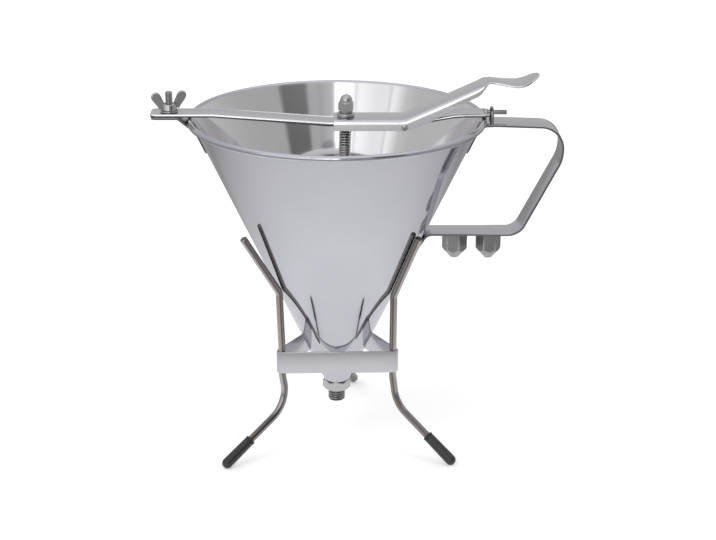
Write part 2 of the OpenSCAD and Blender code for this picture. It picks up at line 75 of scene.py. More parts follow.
def makePiece(name, verts, faces, surface, node, group=None):
    # surface is one material, or a list of them with group naming the one for each face
    mesh = bpy.data.meshes.new(name)
    mesh.from_pydata([toFrame(v) for v in verts], [], faces)
    if group:
        mesh.polygons.foreach_set("material_index", group)
    for look in surface if isinstance(surface, list) else [surface]:
        mesh.materials.append(look)
    tidyMesh(mesh)
    piece = addObject(name, mesh)
    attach(piece, bodyOf[node])
    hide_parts(node)
    return piece


def tidyMesh(mesh):
    work = bmesh.new()
    work.from_mesh(mesh)
    bmesh.ops.remove_doubles(work, verts=work.verts, dist=2e-6)
    bmesh.ops.dissolve_degenerate(work, edges=work.edges, dist=1e-6)
    bmesh.ops.recalc_face_normals(work, faces=work.faces)
    work.to_mesh(mesh)
    work.free()
    mesh.polygons.foreach_set("use_smooth", [True] * len(mesh.polygons))
    mesh.set_sharp_from_angle(angle=sharpAngle)
    mesh.update()


def makeTool(verts, faces, look=None):
    mesh = bpy.data.meshes.new("tool")
    mesh.from_pydata([toFrame(v) for v in verts], [], faces)
    if look:
        mesh.materials.append(look)
    tidyMesh(mesh)
    return addObject("tool", mesh)


def cutOut(piece, verts, faces):
    # takes a closed shape out of a piece
    applyBoolean(piece, makeTool(verts, faces), "DIFFERENCE")


def addOn(piece, verts, faces, look):
    # joins a closed shape to a piece
    applyBoolean(piece, makeTool(verts, faces, look), "UNION")


def stacked(loops):
    # a solid from closed loops of points, one above the other
    count = len(loops[0])
    verts = [point for loop in loops for point in loop]
    faces = [tuple(range(count)), tuple(range(len(verts) - count, len(verts)))]
    for low in range(0, len(verts) - count, count):
        for j in range(count):
            k = (j + 1) % count
            faces.append((low + j, low + k, low + count + k, low + count + j))
    return verts, faces


def prism(loop, low, high):
    # a plan outline made solid between two heights
    return stacked([[(x, y, z) for x, y in loop] for z in (low, high)])


def applyBoolean(piece, tool, operation):
    change = piece.modifiers.new("shape", "BOOLEAN")
    change.operation = operation
    change.solver = "EXACT"
    change.object = tool
    bpy.context.view_layer.update()
    shaped = piece.evaluated_get(bpy.context.evaluated_depsgraph_get())
    result = bpy.data.meshes.new_from_object(shaped)
    piece.modifiers.clear()
    piece.data = result
    tidyMesh(result)
    bpy.data.objects.remove(tool)


def bendPath(corners, radii, stepAngle=4.0, stepLength=None):
    # a line through the corners with a round bend at each, as (point, heading) stations
    corners = [Vector(c) for c in corners]
    stations = []
    last = len(corners) - 1
    for i, corner in enumerate(corners):
        if i in (0, last):
            heading = (corners[min(i + 1, last)] - corners[max(i - 1, 0)]).normalized()
            stations.append((corner.copy(), heading))
            continue
        into = (corner - corners[i - 1]).normalized()
        out = (corners[i + 1] - corner).normalized()
        turn = into.angle(out)
        start = corner - into * radii[i] * math.tan(turn / 2)
        inward = (out - into * out.dot(into)).normalized()
        steps = max(2, math.ceil(math.degrees(turn) / stepAngle))
        for k in range(steps + 1):
            a = turn * k / steps
            point = start + radii[i] * (math.sin(a) * into + (1 - math.cos(a)) * inward)
            stations.append((point, math.cos(a) * into + math.sin(a) * inward))
    return spacedOut(stations, stepLength) if stepLength else stations


def spacedOut(stations, stepLength):
    # adds stations along the straights
    filled = [stations[0]]
    for (a, headingA), (b, headingB) in zip(stations, stations[1:]):
        gap = (b - a).length
        pieces = max(1, math.ceil(gap / stepLength)) if headingA.angle(headingB, 0) < 1e-3 else 1
        for k in range(1, pieces + 1):
            filled.append((a.lerp(b, k / pieces), headingA.lerp(headingB, k / pieces).normalized()))
    return filled


def sweep(stations, section, side=(0, 1, 0), closed=False, cap=0.0):
    # carries a section along the stations; section(i, inset) gives its points (across, side)
    verts, faces, rings = [], [], []
    rows = [(point, heading, i, 0.0) for i, (point, heading) in enumerate(stations)]
    if cap and not closed:
        first, last = rows[0], rows[-1]
        rows[0] = (first[0] + first[1] * cap, first[1], first[2], 0.0)
        rows[-1] = (last[0] - last[1] * cap, last[1], last[2], 0.0)
        rows = [(first[0], first[1], first[2], cap)] + rows + [(last[0], last[1], last[2], cap)]
    side = Vector(side)
    for point, heading, i, inset in rows:
        side = (side - heading * side.dot(heading)).normalized()
        across = side.cross(heading)
        ring = []
        for a, b in section(i, inset):
            ring.append(len(verts))
            verts.append(point + across * a + side * b)
        rings.append(ring)
    count = len(rings[0])
    pairs = list(zip(rings, rings[1:])) + ([(rings[-1], rings[0])] if closed else [])
    for low, high in pairs:
        for j in range(count):
            k = (j + 1) % count
            faces.append((low[j], low[k], high[k], high[j]))
    if not closed:
        faces.append(tuple(reversed(rings[0])))
        faces.append(tuple(rings[-1]))
    return verts, faces


def roundSection(radius, sides=28):
    def points(i, inset):
        r, step = radius - inset, math.tau / sides
        return [(r * math.cos(step * k), r * math.sin(step * k)) for k in range(sides)]

    return points


def flatSection(thick, width, corner, widthAt=None):
    # thick lies across the path and width along its side
    def points(i, inset):
        t = thick / 2 - inset
        w = (widthAt(i) if widthAt else width) / 2 - inset
        r = max(0.05, min(corner, t - 0.02) - inset)
        return roundedBox(t, w, r)

    return points


def arc(centre, radius, start, end, steps):
    # points round a centre, between two angles in degrees
    x, y = centre
    angles = [math.radians(start + (end - start) * k / steps) for k in range(steps + 1)]
    return [(x + radius * math.cos(a), y + radius * math.sin(a)) for a in angles]


def roundedBox(t, w, r, steps=4):
    loop = []
    dx, dy = t - r, w - r
    for cx, cy, start in ((dx, dy, 0), (-dx, dy, 90), (-dx, -dy, 180), (dx, -dy, 270)):
        loop += arc((cx, cy), r, start, start + 90, steps)
    return loop


def channelSection(half, depth, t, bend):
    # a sheet with both edges folded down: the top lies at across 0, the edges reach -depth
    outer = min(bend, depth * 0.48)
    inner = max(0.04, min(bend - t, (depth - t) * 0.5))
    return [
        (-depth, -half), *arc((-outer, outer - half), outer, -90, 0, 5),
        *arc((-outer, half - outer), outer, 0, 90, 5), (-depth, half),
        (-depth, half - t), *arc((-t - inner, half - t - inner), inner, 90, 0, 3),
        *arc((-t - inner, t + inner - half), inner, 0, -90, 3), (-depth, t - half),
    ]


def spin(rows, segments=96, closed=False):
    # turns rows of (radius, height) about Z; a radius may be a function of the angle
    verts, faces, rings = [], [], []
    for radius, height in rows:
        if not callable(radius) and radius < 1e-6:
            rings.append([len(verts)])
            verts.append(Vector((0, 0, height)))
            continue
        ring = []
        for k in range(segments):
            a = math.tau * k / segments
            r = radius(a) if callable(radius) else radius
            ring.append(len(verts))
            verts.append(Vector((r * math.cos(a), r * math.sin(a), height)))
        rings.append(ring)
    pairs = list(zip(rings, rings[1:])) + ([(rings[-1], rings[0])] if closed else [])
    for low, high in pairs:
        for k in range(segments):
            n = (k + 1) % segments
            if len(low) == 1:
                faces.append((low[0], high[n], high[k]))
            elif len(high) == 1:
                faces.append((low[k], low[n], high[0]))
            else:
                faces.append((low[k], low[n], high[n], high[k]))
    if not closed:
        for ring in (rings[0], rings[-1]):
            if len(ring) > 1:
                faces.append(tuple(ring))
    return verts, faces


def turnedPiece(name, rows, segments, place, look, node, closed=False):
    verts, faces = spin(rows, segments, closed)
    return makePiece(name, moved(verts, place), faces, look, node)


def roundedRows(points, radii, steps=5):
    # a profile of (radius, height) with its corners rounded
    stations = bendPath([(r, 0, z) for r, z in points], radii, stepAngle=90 / steps)
    return [(p.x, p.z) for p, heading in stations]


def hexLimit(acrossFlats, radius):
    # a circle cut by the flats of a hexagon
    def limited(a):
        turned = a % (math.pi / 3) - math.pi / 6
        return min(radius, acrossFlats / 2 / math.cos(turned))

    return limited


def hexRows(acrossFlats, low, high, chamfer, steps=6):
    # a hexagon whose ends are turned to a cone, which leaves the curved scallops on its flats
    corner = acrossFlats / 2 / math.cos(math.pi / 6)
    rows = []
    for k in range(steps + 1):
        cut = chamfer * (1 - k / steps)
        rows.append((hexLimit(acrossFlats, corner - cut), low + 0.6 * chamfer * k / steps))
    for k in range(steps + 1):
        cut = chamfer * k / steps
        rows.append((hexLimit(acrossFlats, corner - cut), high - 0.6 * chamfer * (1 - k / steps)))
    return rows


def threadRows(major, depth, pitch, low, high, chamferLow=0.0, chamferHigh=0.0, stepsPerTurn=10):
    # the radius follows a helix, so the ridges climb as on a real thread
    def ridge(z):
        limit = major - max(0, chamferLow - (z - low)) - max(0, chamferHigh - (high - z))

        def radius(a):
            phase = (z / pitch - a / math.tau) % 1
            return min(limit, major - depth * abs(2 * phase - 1))

        return radius

    count = math.ceil((high - low) / pitch * stepsPerTurn)
    heights = [low + (high - low) * k / count for k in range(count + 1)]
    return [(ridge(z), z) for z in heights]


def moved(verts, matrix):
    return [matrix @ Vector(v) for v in verts]


def rotated(degrees, axis="Z"):
    return Matrix.Rotation(math.radians(degrees), 4, axis)


def placed(x, y, z):
    return Matrix.Translation((x, y, z))


def smoothStep(x, low, high):
    t = min(1, max(0, (x - low) / (high - low)))
    return t * t * (3 - 2 * t)


def between(knots, x):
    # straight lines through the knots, which are (x, value)
    for (x0, v0), (x1, v1) in zip(knots, knots[1:]):
        if x <= x1:
            return v0 + (v1 - v0) * max(0, (x - x0) / (x1 - x0))
    return knots[-1][1]


def addNode(tree, kind, inputs, **settings):
    # a shader node; an input given as a socket is linked, and any other value is set
    node = tree.nodes.new("ShaderNode" + kind)
    for name, value in settings.items():
        setattr(node, name, value)
    for key, value in inputs.items():
        if isinstance(value, bpy.types.NodeSocket):
            tree.links.new(value, node.inputs[key])
        else:
            node.inputs[key].default_value = value
    return node


def addRamp(tree, along, stops, blueness=1.0):
    # grey levels along a value; the stops are (position, level) and run from 0 to 1
    ramp = addNode(tree, "ValToRGB", {"Fac": along})
    elements = ramp.color_ramp.elements
    for at in (0, -1):
        position, level = stops[at]
        elements[at].position, elements[at].color = position, (level, level, level, 1)
    for position, level in stops[1:-1]:
        elements.new(position).color = (level, level, level * blueness, 1)
    return ramp.outputs["Color"]


def newLook(finish):
    look = bpy.data.materials.new(finish["name"])
    look.use_nodes = True
    look.diffuse_color = (*finish["colour"], 1)
    shader = look.node_tree.nodes["Principled BSDF"]
    shader.inputs["Base Color"].default_value = look.diffuse_color
    shader.inputs["Metallic"].default_value = finish.get("metallic", 1.0)
    shader.inputs["Roughness"].default_value = finish["roughness"]
    return look, shader


def addGrain(look, shader, finish):
    # polishing lines: noise drawn out along one direction drives gloss, relief and a slight tint
    tree = look.node_tree
    place = addNode(tree, "TexCoord", {}).outputs["Object"]
    source = place
    if finish.get("rings"):
        # lines that run round the upright axis depend on the height alone
        split = addNode(tree, "SeparateXYZ", {0: place})
        source = addNode(tree, "CombineXYZ", {"Z": split.outputs["Z"]}).outputs[0]
    mapping = addNode(tree, "Mapping", {"Scale": finish["stretch"], "Vector": source})
    noise = {"Scale": 1.0, "Detail": 6.0, "Roughness": 0.62, "Vector": mapping.outputs[0]}
    grain = addNode(tree, "TexNoise", noise).outputs["Fac"]
    low, high = finish["gloss"]
    ends = {"From Min": 0.3, "From Max": 0.7, "To Min": low, "To Max": high}
    gloss = addNode(tree, "MapRange", {**ends, "Value": grain})
    tree.links.new(gloss.outputs["Result"], shader.inputs["Roughness"])
    # handling marks: wide soft patches
    patches = addNode(tree, "TexNoise", {"Scale": 38.0, "Detail": 3.0, "Vector": place})
    share = {0: patches.outputs["Fac"], 1: finish["tintShare"]}
    amount = addNode(tree, "Math", share, operation="MULTIPLY").outputs[0]
    colours = {"A": (*finish["colour"], 1), "B": (*finish["tint"], 1), "Factor": amount}
    mix = addNode(tree, "Mix", colours, data_type="RGBA")
    tree.links.new(mix.outputs["Result"], shader.inputs["Base Color"])
    lines = {"Strength": finish["relief"], "Distance": 0.00002, "Height": grain}
    relief = addNode(tree, "Bump", lines)
    tree.links.new(relief.outputs["Normal"], shader.inputs["Normal"])


def addPaintedReflection(look, shader):
    # a painted dark reflection along the wires, on the side that faces the funnel
    tree = look.node_tree
    place = addNode(tree, "NewGeometry", {}).outputs
    flat = addNode(tree, "VectorMath", {0: place["Position"], 1: (1, 1, 0)}, operation="MULTIPLY")
    outward = addNode(tree, "VectorMath", {0: flat.outputs["Vector"]}, operation="NORMALIZE")
    pair = {0: outward.outputs["Vector"], 1: place["Normal"]}
    facing = addNode(tree, "VectorMath", pair, operation="DOT_PRODUCT")
    turn = addNode(tree, "MapRange", {"From Min": -1, "Value": facing.outputs["Value"]})
    unpaintedShare = addRamp(tree, turn.outputs["Result"], paintedReflection["steps"])
    metal = shader.inputs["Base Color"].links[0].from_socket
    colours = {"A": (*paintedReflection["colour"], 1), "B": metal, "Factor": unpaintedShare}
    mix = addNode(tree, "Mix", colours, data_type="RGBA")
    tree.links.new(mix.outputs["Result"], shader.inputs["Base Color"])


# gloss is the range of roughness, stretch how the grain is drawn out along X, Y and Z, and rings
# says that it runs round the upright axis
finishes = {
    "coneOutside": {
        "name": "mirrorPolishedCone", "colour": (0.60, 0.60, 0.645), "roughness": 0.06,
        "stretch": (1, 1, 900), "gloss": (0.035, 0.085), "relief": 0.05,
        "tint": (0.52, 0.53, 0.58), "tintShare": 0.5, "rings": True,
    },
    "coneInside": {
        "name": "satinPolishedInside", "colour": (0.80, 0.79, 0.805), "roughness": 0.07,
        "stretch": (1, 1, 1400), "gloss": (0.045, 0.10), "relief": 0.08,
        "tint": (0.72, 0.70, 0.69), "tintShare": 0.5, "rings": True,
    },
    "strip": {
        "name": "brightStrip", "colour": (0.60, 0.60, 0.64), "roughness": 0.2,
        "stretch": (90, 1500, 90), "gloss": (0.14, 0.28), "relief": 0.16,
        "tint": (0.50, 0.50, 0.55), "tintShare": 0.6,
    },
    "cutEdge": {
        "name": "shearedEdge", "colour": (0.20, 0.20, 0.215), "roughness": 0.34,
        "stretch": (500, 500, 1500), "gloss": (0.28, 0.46), "relief": 0.25,
        "tint": (0.15, 0.145, 0.15), "tintShare": 0.7,
    },
    "polishedStrip": {
        "name": "polishedStrip", "colour": (0.66, 0.66, 0.69), "roughness": 0.12,
        "stretch": (90, 1500, 90), "gloss": (0.08, 0.18), "relief": 0.12,
        "tint": (0.55, 0.55, 0.6), "tintShare": 0.5,
    },
    "band": {
        "name": "bandStrip", "colour": (0.60, 0.60, 0.63), "roughness": 0.16,
        "stretch": (70, 70, 1600), "gloss": (0.12, 0.24), "relief": 0.14,
        "tint": (0.52, 0.51, 0.54), "tintShare": 0.6,
    },
    "wire": {
        "name": "standWire", "colour": (0.50, 0.485, 0.47), "roughness": 0.14,
        "stretch": (420, 420, 45), "gloss": (0.08, 0.20), "relief": 0.15,
        "tint": (0.40, 0.375, 0.36), "tintShare": 0.7,
    },
    "turned": {
        "name": "turnedSteel", "colour": (0.56, 0.55, 0.555), "roughness": 0.18,
        "stretch": (1, 1, 2600), "gloss": (0.12, 0.24), "relief": 0.2,
        "tint": (0.44, 0.43, 0.43), "tintShare": 0.7, "rings": True,
    },
    "nozzle": {
        "name": "nozzleSteel", "colour": (0.48, 0.475, 0.47), "roughness": 0.2,
        "stretch": (900, 900, 60), "gloss": (0.14, 0.26), "relief": 0.2,
        "tint": (0.22, 0.215, 0.21), "tintShare": 0.9,
    },
    # a dark metal for the thread's grooves: painted shade
    "root": {
        "name": "paintedShadeThreadRoot", "colour": (0.16, 0.155, 0.155), "roughness": 0.35,
        "stretch": (1, 1, 2600), "gloss": (0.3, 0.42), "relief": 0.2,
        "tint": (0.12, 0.115, 0.115), "tintShare": 0.7, "rings": True,
    },
    # a brighter copy of the strip metal for flanges, folds and raised lips: a painted highlight
    "fold": {
        "name": "paintedHighlightFold", "colour": (0.93, 0.93, 0.94), "roughness": 0.16,
        "stretch": (120, 900, 900), "gloss": (0.12, 0.22), "relief": 0.12,
        "tint": (0.86, 0.86, 0.88), "tintShare": 0.6,
    },
    "grey": {
        "name": "greySteel", "colour": (0.42, 0.41, 0.41), "roughness": 0.24,
        "stretch": (500, 500, 500), "gloss": (0.18, 0.34), "relief": 0.2,
        "tint": (0.32, 0.31, 0.31), "tintShare": 0.7,
    },
    "spring": {
        "name": "springSteel", "colour": (0.64, 0.63, 0.63), "roughness": 0.22,
        "stretch": (700, 700, 700), "gloss": (0.16, 0.32), "relief": 0.15,
        "tint": (0.42, 0.41, 0.41), "tintShare": 0.7,
    },
    "vinyl": {
        "name": "blackVinyl", "colour": (0.012, 0.012, 0.014), "roughness": 0.3, "metallic": 0.0,
        "stretch": (1300, 1300, 1300), "gloss": (0.24, 0.42), "relief": 0.35,
        "tint": (0.022, 0.022, 0.025), "tintShare": 0.8,
    },
}

# the steps are (share of the way round the wire from the funnel's side outward, how much bare metal
# shows through the painted dark reflection)
paintedReflection = {
    "colour": (0.11, 0.09, 0.085),
    "steps": (
        (0, 0), (0.075, 0.05), (0.15, 0.4), (0.55, 0.45), (0.625, 0.1),
        (0.68, 0), (0.75, 0.25), (0.83, 0.85), (1, 1),
    ),
}


def makeLooks():
    looks = {}
    for key, finish in finishes.items():
        look, shader = newLook(finish)
        addGrain(look, shader, finish)
        looks[key] = look
        if key == "coneInside":
            shader.inputs["Anisotropic"].default_value = 0.3
        # the wire also gets a painted dark reflection on its funnel side
        if key == "wire":
            addPaintedReflection(look, shader)
        if key == "vinyl":
            shader.inputs["Coat Weight"].default_value = 0.25
            shader.inputs["Coat Roughness"].default_value = 0.15
    return looks


looks = makeLooks()
print("materials made:", len(looks))

funnel = {
    "throatRadius": 9.1,
    "endHeight": 44.7,
    "halfAngle": 24.85,
    "beadCentre": (97.92, 233.68),
    "beadRadius": 2.08,
    "curlFrom": -145,
    "outsideTop": 232.3,
    "insideTop": 233.5,
    "wall": 0.9,
    "segments": 256,
}


def coneRadius(height):
    slope = math.tan(math.radians(funnel["halfAngle"]))
    return funnel["throatRadius"] + (height - funnel["endHeight"]) * slope


def wallAcross():
    # the wall's thickness measured level
    return funnel["wall"] / math.cos(math.radians(funnel["halfAngle"]))


def makeFunnelCone():
    around = funnel["segments"]
    curlTo = 180 - funnel["halfAngle"]  # where the bead runs smoothly into the inner wall
    bead = arc(funnel["beadCentre"], funnel["beadRadius"], funnel["curlFrom"], curlTo, 32)
    middle = (60, 90, 120, 150, 180, 210, 225)
    outsideHeights = (funnel["endHeight"], *middle, 231, funnel["outsideTop"])
    insideHeights = (funnel["insideTop"], 231.5, *reversed(middle), funnel["endHeight"])
    outside = [(coneRadius(z), z) for z in outsideHeights]
    inside = [(coneRadius(z) - wallAcross(), z) for z in insideHeights]
    verts, faces = spin(outside + bead + inside, segments=around, closed=True)
    insideFrom = (len(outside) + len(bead) - 1) * around
    group = [1 if insideFrom <= i < len(faces) - around else 0 for i in range(len(faces))]
    surface = [looks["coneOutside"], looks["coneInside"]]
    makePiece("funnelCone", verts, faces, surface, "funnel_cone", group)


outlet = {
    "end": 28.3,
    "threadRadius": 6.0,
    "threadDepth": 0.85,
    "threadPitch": 1.75,
    "threadTop": 37.0,
    "hexAcross": 17.0,
    "hexTop": 43.5,
    "hexChamfer": 1.36,
    "neckRadius": 7.7,
    "boreRadius": 4.2,
    "seatRadius": 7.4,
    "seatRise": 2,
    "seatDepth": 3,
}


def rootGroup(verts, faces, radius, top):
    # the thread's roots are the second material, a dark metal: painted shade in the grooves
    group = []
    for face in faces:
        middle = sum((Vector(verts[i]) for i in face), Vector()) / len(face)
        across = math.hypot(middle.x, middle.y)
        group.append(1 if len(face) == 4 and radius - 0.6 < across < radius and middle.z < top else 0)
    return group


def makeOutlet():
    bore, root = outlet["boreRadius"], outlet["threadRadius"] - outlet["threadDepth"]
    top = funnel["endHeight"] + outlet["seatRise"]
    rows = [(bore, outlet["end"] + 0.4), (bore + 0.4, outlet["end"])]
    rows += threadRows(
        outlet["threadRadius"], outlet["threadDepth"], outlet["threadPitch"],
        outlet["end"], outlet["threadTop"] - 1.0, chamferLow=0.8, chamferHigh=0.9,
    )
    rows.append((root, outlet["threadTop"]))
    rows += hexRows(outlet["hexAcross"], outlet["threadTop"], outlet["hexTop"], outlet["hexChamfer"])
    rows += [
        (outlet["neckRadius"], outlet["hexTop"]),
        (outlet["neckRadius"], funnel["endHeight"]),
        (funnel["throatRadius"] - wallAcross() - 0.03, funnel["endHeight"] + 0.01),
        (coneRadius(top) - wallAcross() - 0.03, top),
        (outlet["seatRadius"], top),
        (bore, funnel["endHeight"] - outlet["seatDepth"]),
    ]
    verts, faces = spin(rows, segments=96, closed=True)
    half = outlet["threadRadius"] - outlet["threadDepth"] * 0.5
    group = rootGroup(verts, faces, half, outlet["threadTop"] - 0.5)
    surface = [looks["turned"], looks["root"]]
    makePiece("outletFitting", verts, faces, surface, "outlet_fitting", group)


makeFunnelCone()
makeOutlet()
print("funnel made")

stand = {
    "wireRadius": 2.5,
    "uprightRadius": 44.4,
    "footRadius": 92.2,
    "footBendHeight": 34.9,
    "kneeHeights": (56.08, 77.88),
    "topHeight": 161.5,
    "bends": (0, 23, 33, 33, 8, 0),
    "restGap": 0.3,
}

# each wire's own bends: the foot leans and toes out, and the upper arm flares and toes out
legs = {
    "leg_front_left": {
        "azimuth": 211.9, "footLean": -4.7, "footToe": 6.8,
        "seatHeight": 118.1, "flare": 31.8, "armToe": 0, "cap": "foot_cap_left",
    },
    "leg_front_right": {
        "azimuth": 330.8, "footLean": 3.1, "footToe": -4.7,
        "seatHeight": 114.7, "flare": 25.4, "armToe": -15.7, "cap": "foot_cap_right",
    },
    "leg_rear": {
        "azimuth": 88, "footLean": 0, "footToe": -11.3,
        "seatHeight": 116.6, "flare": 28, "armToe": 0, "cap": "foot_cap_rear",
    },
}

footCap = {"radius": 3.7, "mouthRadius": 3.5, "length": 27, "lip": 0.2}


def aslant(degrees, length):
    # a level step, turned from straight outward
    a = math.radians(degrees)
    return Vector((length * math.cos(a), length * math.sin(a), 0))


def legCorners(leg):
    shape, upright = legs[leg], stand["uprightRadius"]
    flare, slope = math.radians(shape["flare"]), math.radians(funnel["halfAngle"])
    # a round bend stays this much farther from the wall than its corner would
    spare = stand["bends"][4] * (math.cos(flare / 2 - slope) / math.cos(flare / 2) - 1)
    clear = (stand["wireRadius"] + stand["restGap"] - spare) / math.cos(slope)
    seat = Vector((coneRadius(shape["seatHeight"]) + clear, 0, shape["seatHeight"]))
    rise = stand["topHeight"] - shape["seatHeight"]
    kneeLow, kneeHigh = stand["kneeHeights"]
    foot = aslant(shape["footToe"], stand["footRadius"] - upright)
    local = [
        Vector((upright, 0, footCap["radius"])) + foot,
        Vector((upright + shape["footLean"], 0, stand["footBendHeight"])),
        Vector((upright, 0, kneeLow)),
        Vector((upright, 0, kneeHigh)),
        seat,
        seat + Vector((0, 0, rise)) + aslant(shape["armToe"], rise * math.tan(flare)),
    ]
    return [rotated(shape["azimuth"]) @ p for p in local]


def makeLegs():
    for leg in legs:
        corners = legCorners(leg)
        stations = bendPath(corners, stand["bends"], stepAngle=3)
        verts, faces = sweep(stations, roundSection(stand["wireRadius"], 32), side=(0, 0, 1), cap=0.45)
        makePiece(leg + "Wire", verts, faces, looks["wire"], leg)
        makeFootCap(leg, corners)


def makeFootCap(leg, corners):
    # a dipped cap: round nose, slight taper and a soft lip at the mouth
    r, mouth, lip = footCap["radius"], footCap["mouthRadius"], footCap["lip"]
    end = footCap["length"] - r
    inner = stand["wireRadius"] + 0.03
    rows = arc((0, 0), r, -90, 0, 12)
    rows += [(r, 3), (mouth, end - 3.2), (mouth, end - 2.2)]
    for k in range(9):
        a = math.radians(-90 + 22.5 * k)
        rows.append((mouth - 0.35 + (lip + 0.35) * math.cos(a), end - 0.9 + 0.9 * math.sin(a)))
    rows += [(inner, end - 0.1), (inner, 0.5), (0, 0.3)]
    toward = (corners[1] - corners[0]).normalized()
    place = placed(*corners[0]) @ toward.to_track_quat("Z", "Y").to_matrix().to_4x4()
    turnedPiece(leg + "Cap", rows, 48, place, looks["vinyl"], legs[leg]["cap"])


band = {"top": 74.88, "height": 15.8, "thick": 1.2, "clear": 0.03, "corner": 0.45}


def makeBand():
    azimuths = [math.radians(shape["azimuth"]) for shape in legs.values()]
    posts = [stand["uprightRadius"] * Vector((math.cos(a), math.sin(a), 0)) for a in azimuths]
    reach = stand["wireRadius"] + band["clear"] + band["thick"] / 2
    middle = band["top"] - band["height"] / 2
    stations = []
    for i in range(3):
        before = (posts[i] - posts[i - 1]).normalized()
        after = (posts[(i + 1) % 3] - posts[i]).normalized()
        outward = Vector((before.y, -before.x, 0))
        turn = before.angle(after)
        for k in range(13):
            spun = Matrix.Rotation(turn * k / 12, 3, "Z")
            point = posts[i] + spun @ outward * reach
            stations.append((Vector((point.x, point.y, middle)), spun @ before))
    section = flatSection(band["thick"], band["height"], band["corner"])
    verts, faces = sweep(stations, section, side=(0, 0, 1), closed=True)
    makePiece("standBand", verts, faces, looks["band"], "stand_band")


makeLegs()
makeBand()
print("stand made")

strap = {
    "width": 20,
    "armWidth": 22.5,
    "gripWidth": 26,
    "lowArmWidth": 21,
    "thick": 1.5,
    "corner": 0.55,
    "armHeight": 230.01,
    "crest": (107, 230.91),
    "armEndHeight": 229.51,
    "lowArmHeight": 154.21,
    "tab": 19,
    "gripX": 151.85,
    "shoulder": (150.25, 207.61),
    "gripLowX": 123.04,
    "lugHeight": 235.41,
    "lugEndX": 123.5,
    "lugBendX": 105.3,
    "lugTabHeight": 226.16,
    "tabRounding": 3.5,
    "handleBends": (0, 7, 20, 15, 22, 12, 7, 0),
    "bracketBends": (0, 3, 5, 0),
    "offWall": 0.12,
}


def onCone(height):
    # where the strip's middle lies when it is laid on the cone
    off = (strap["thick"] / 2 + strap["offWall"]) / math.cos(math.radians(funnel["halfAngle"]))
    return (coneRadius(height) + off, 0, height)


def handleWidth(point):
    # narrow on the funnel and widest along the grip
    low, high = strap["lowArmHeight"], strap["armHeight"] + 1
    knots = (
        (low, strap["lowArmWidth"]), (low + 6, strap["gripWidth"]),
        (strap["shoulder"][1], strap["gripWidth"]), (high, strap["armWidth"]),
    )
    full = between(knots, point.z)
    return strap["width"] + (full - strap["width"]) * min(1, max(0, (point.x - 100) / 8))


def tabWidth(stations, widthOf=None):
    # the strap's corners are rounded in plan at both ends
    lengths = [0]
    for (a, _), (b, _) in zip(stations, stations[1:]):
        lengths.append(lengths[-1] + (b - a).length)
    r = strap["tabRounding"]

    def width(i):
        near = min(lengths[i], lengths[-1] - lengths[i], r)
        full = widthOf(stations[i][0]) if widthOf else strap["width"]
        return full - 2 * (r - math.sqrt(max(0, r * r - (r - near) ** 2)))

    return width


def fineEnds(stations, length=4, steps=8):
    # closer stations near both ends, for the rounding of the corners
    for at, step in ((0, 1), (-1, -1)):
        end, heading = stations[at]
        inner = stations[at + step][0]
        toward = (inner - end).normalized()
        extra = [(end + toward * length * k / steps, heading) for k in range(1, steps)]
        if at == 0:
            stations = [stations[0]] + extra + stations[1:]
        else:
            stations = stations[:-1] + extra[::-1] + [stations[-1]]
    return stations


def hugCone(verts, highTab, lowTab=None):
    # the tabs are dished to lie on the round wall
    for v in verts:
        tab = highTab if v.z > 180 or lowTab is None else lowTab
        share = smoothStep(tab - v.z, 0, 3)
        if share > 0 and abs(v.x) < coneRadius(v.z) + 4:
            r = coneRadius(v.z)
            sink = (r - math.sqrt(r * r - v.y * v.y)) * share
            v.x -= math.copysign(sink, v.x)


def facesAlong(faces, count, *lines):
    # numbers the materials of a swept strip, whose section has count points: the first set of
    # lines along it takes the second material, the next set the third
    group = []
    for i, face in enumerate(faces):
        picked = [n + 1 for n, line in enumerate(lines) if i % count in line and len(face) == 4]
        group.append(picked[0] if picked else 0)
    return group


def strapPiece(name, corners, bends, node, tabs, widthOf=None):
    # a bent flat strip with sheared edges, whose tabs hug the cone below the heights given
    stations = fineEnds(bendPath(corners, bends, stepAngle=3, stepLength=6))
    widthAt = tabWidth(stations, widthOf)
    section = flatSection(strap["thick"], strap["width"], strap["corner"], widthAt)
    verts, faces = sweep(stations, section, cap=0.3)
    hugCone(verts, *tabs)
    group = facesAlong(faces, 20, (2, 3, 4, 5, 6, 12, 13, 14, 15, 16))
    surface = [looks["strip"], looks["cutEdge"]]
    makePiece(name, verts, faces, surface, node, group)


def makeHandle():
    arm, low = strap["armHeight"], strap["lowArmHeight"]
    corners = [
        onCone(arm - strap["tab"]), onCone(arm), (strap["crest"][0], 0, strap["crest"][1]),
        (strap["gripX"], 0, strap["armEndHeight"]), (strap["shoulder"][0], 0, strap["shoulder"][1]),
        (strap["gripLowX"], 0, low), onCone(low), onCone(low - strap["tab"] * 0.9),
    ]
    tabs = (arm - 5, low - 5)
    strapPiece("handleStrap", corners, strap["handleBends"], "handle_strap", tabs, handleWidth)


def makeBracket():
    lug, tab = strap["lugHeight"], strap["lugTabHeight"]
    corners = [
        (strap["lugEndX"], 0, lug), (strap["lugBendX"], 0, lug),
        onCone(tab), onCone(strap["armHeight"] - strap["tab"]),
    ]
    corners = [(-x, y, z) for x, y, z in corners]
    strapPiece("clampBracket", corners, strap["bracketBends"], "clamp_bracket", (tab,))


keeper = {"x": 103.5, "legSpread": 5, "archHeight": 235.46, "wire": 1.15, "footHeight": 229.26}


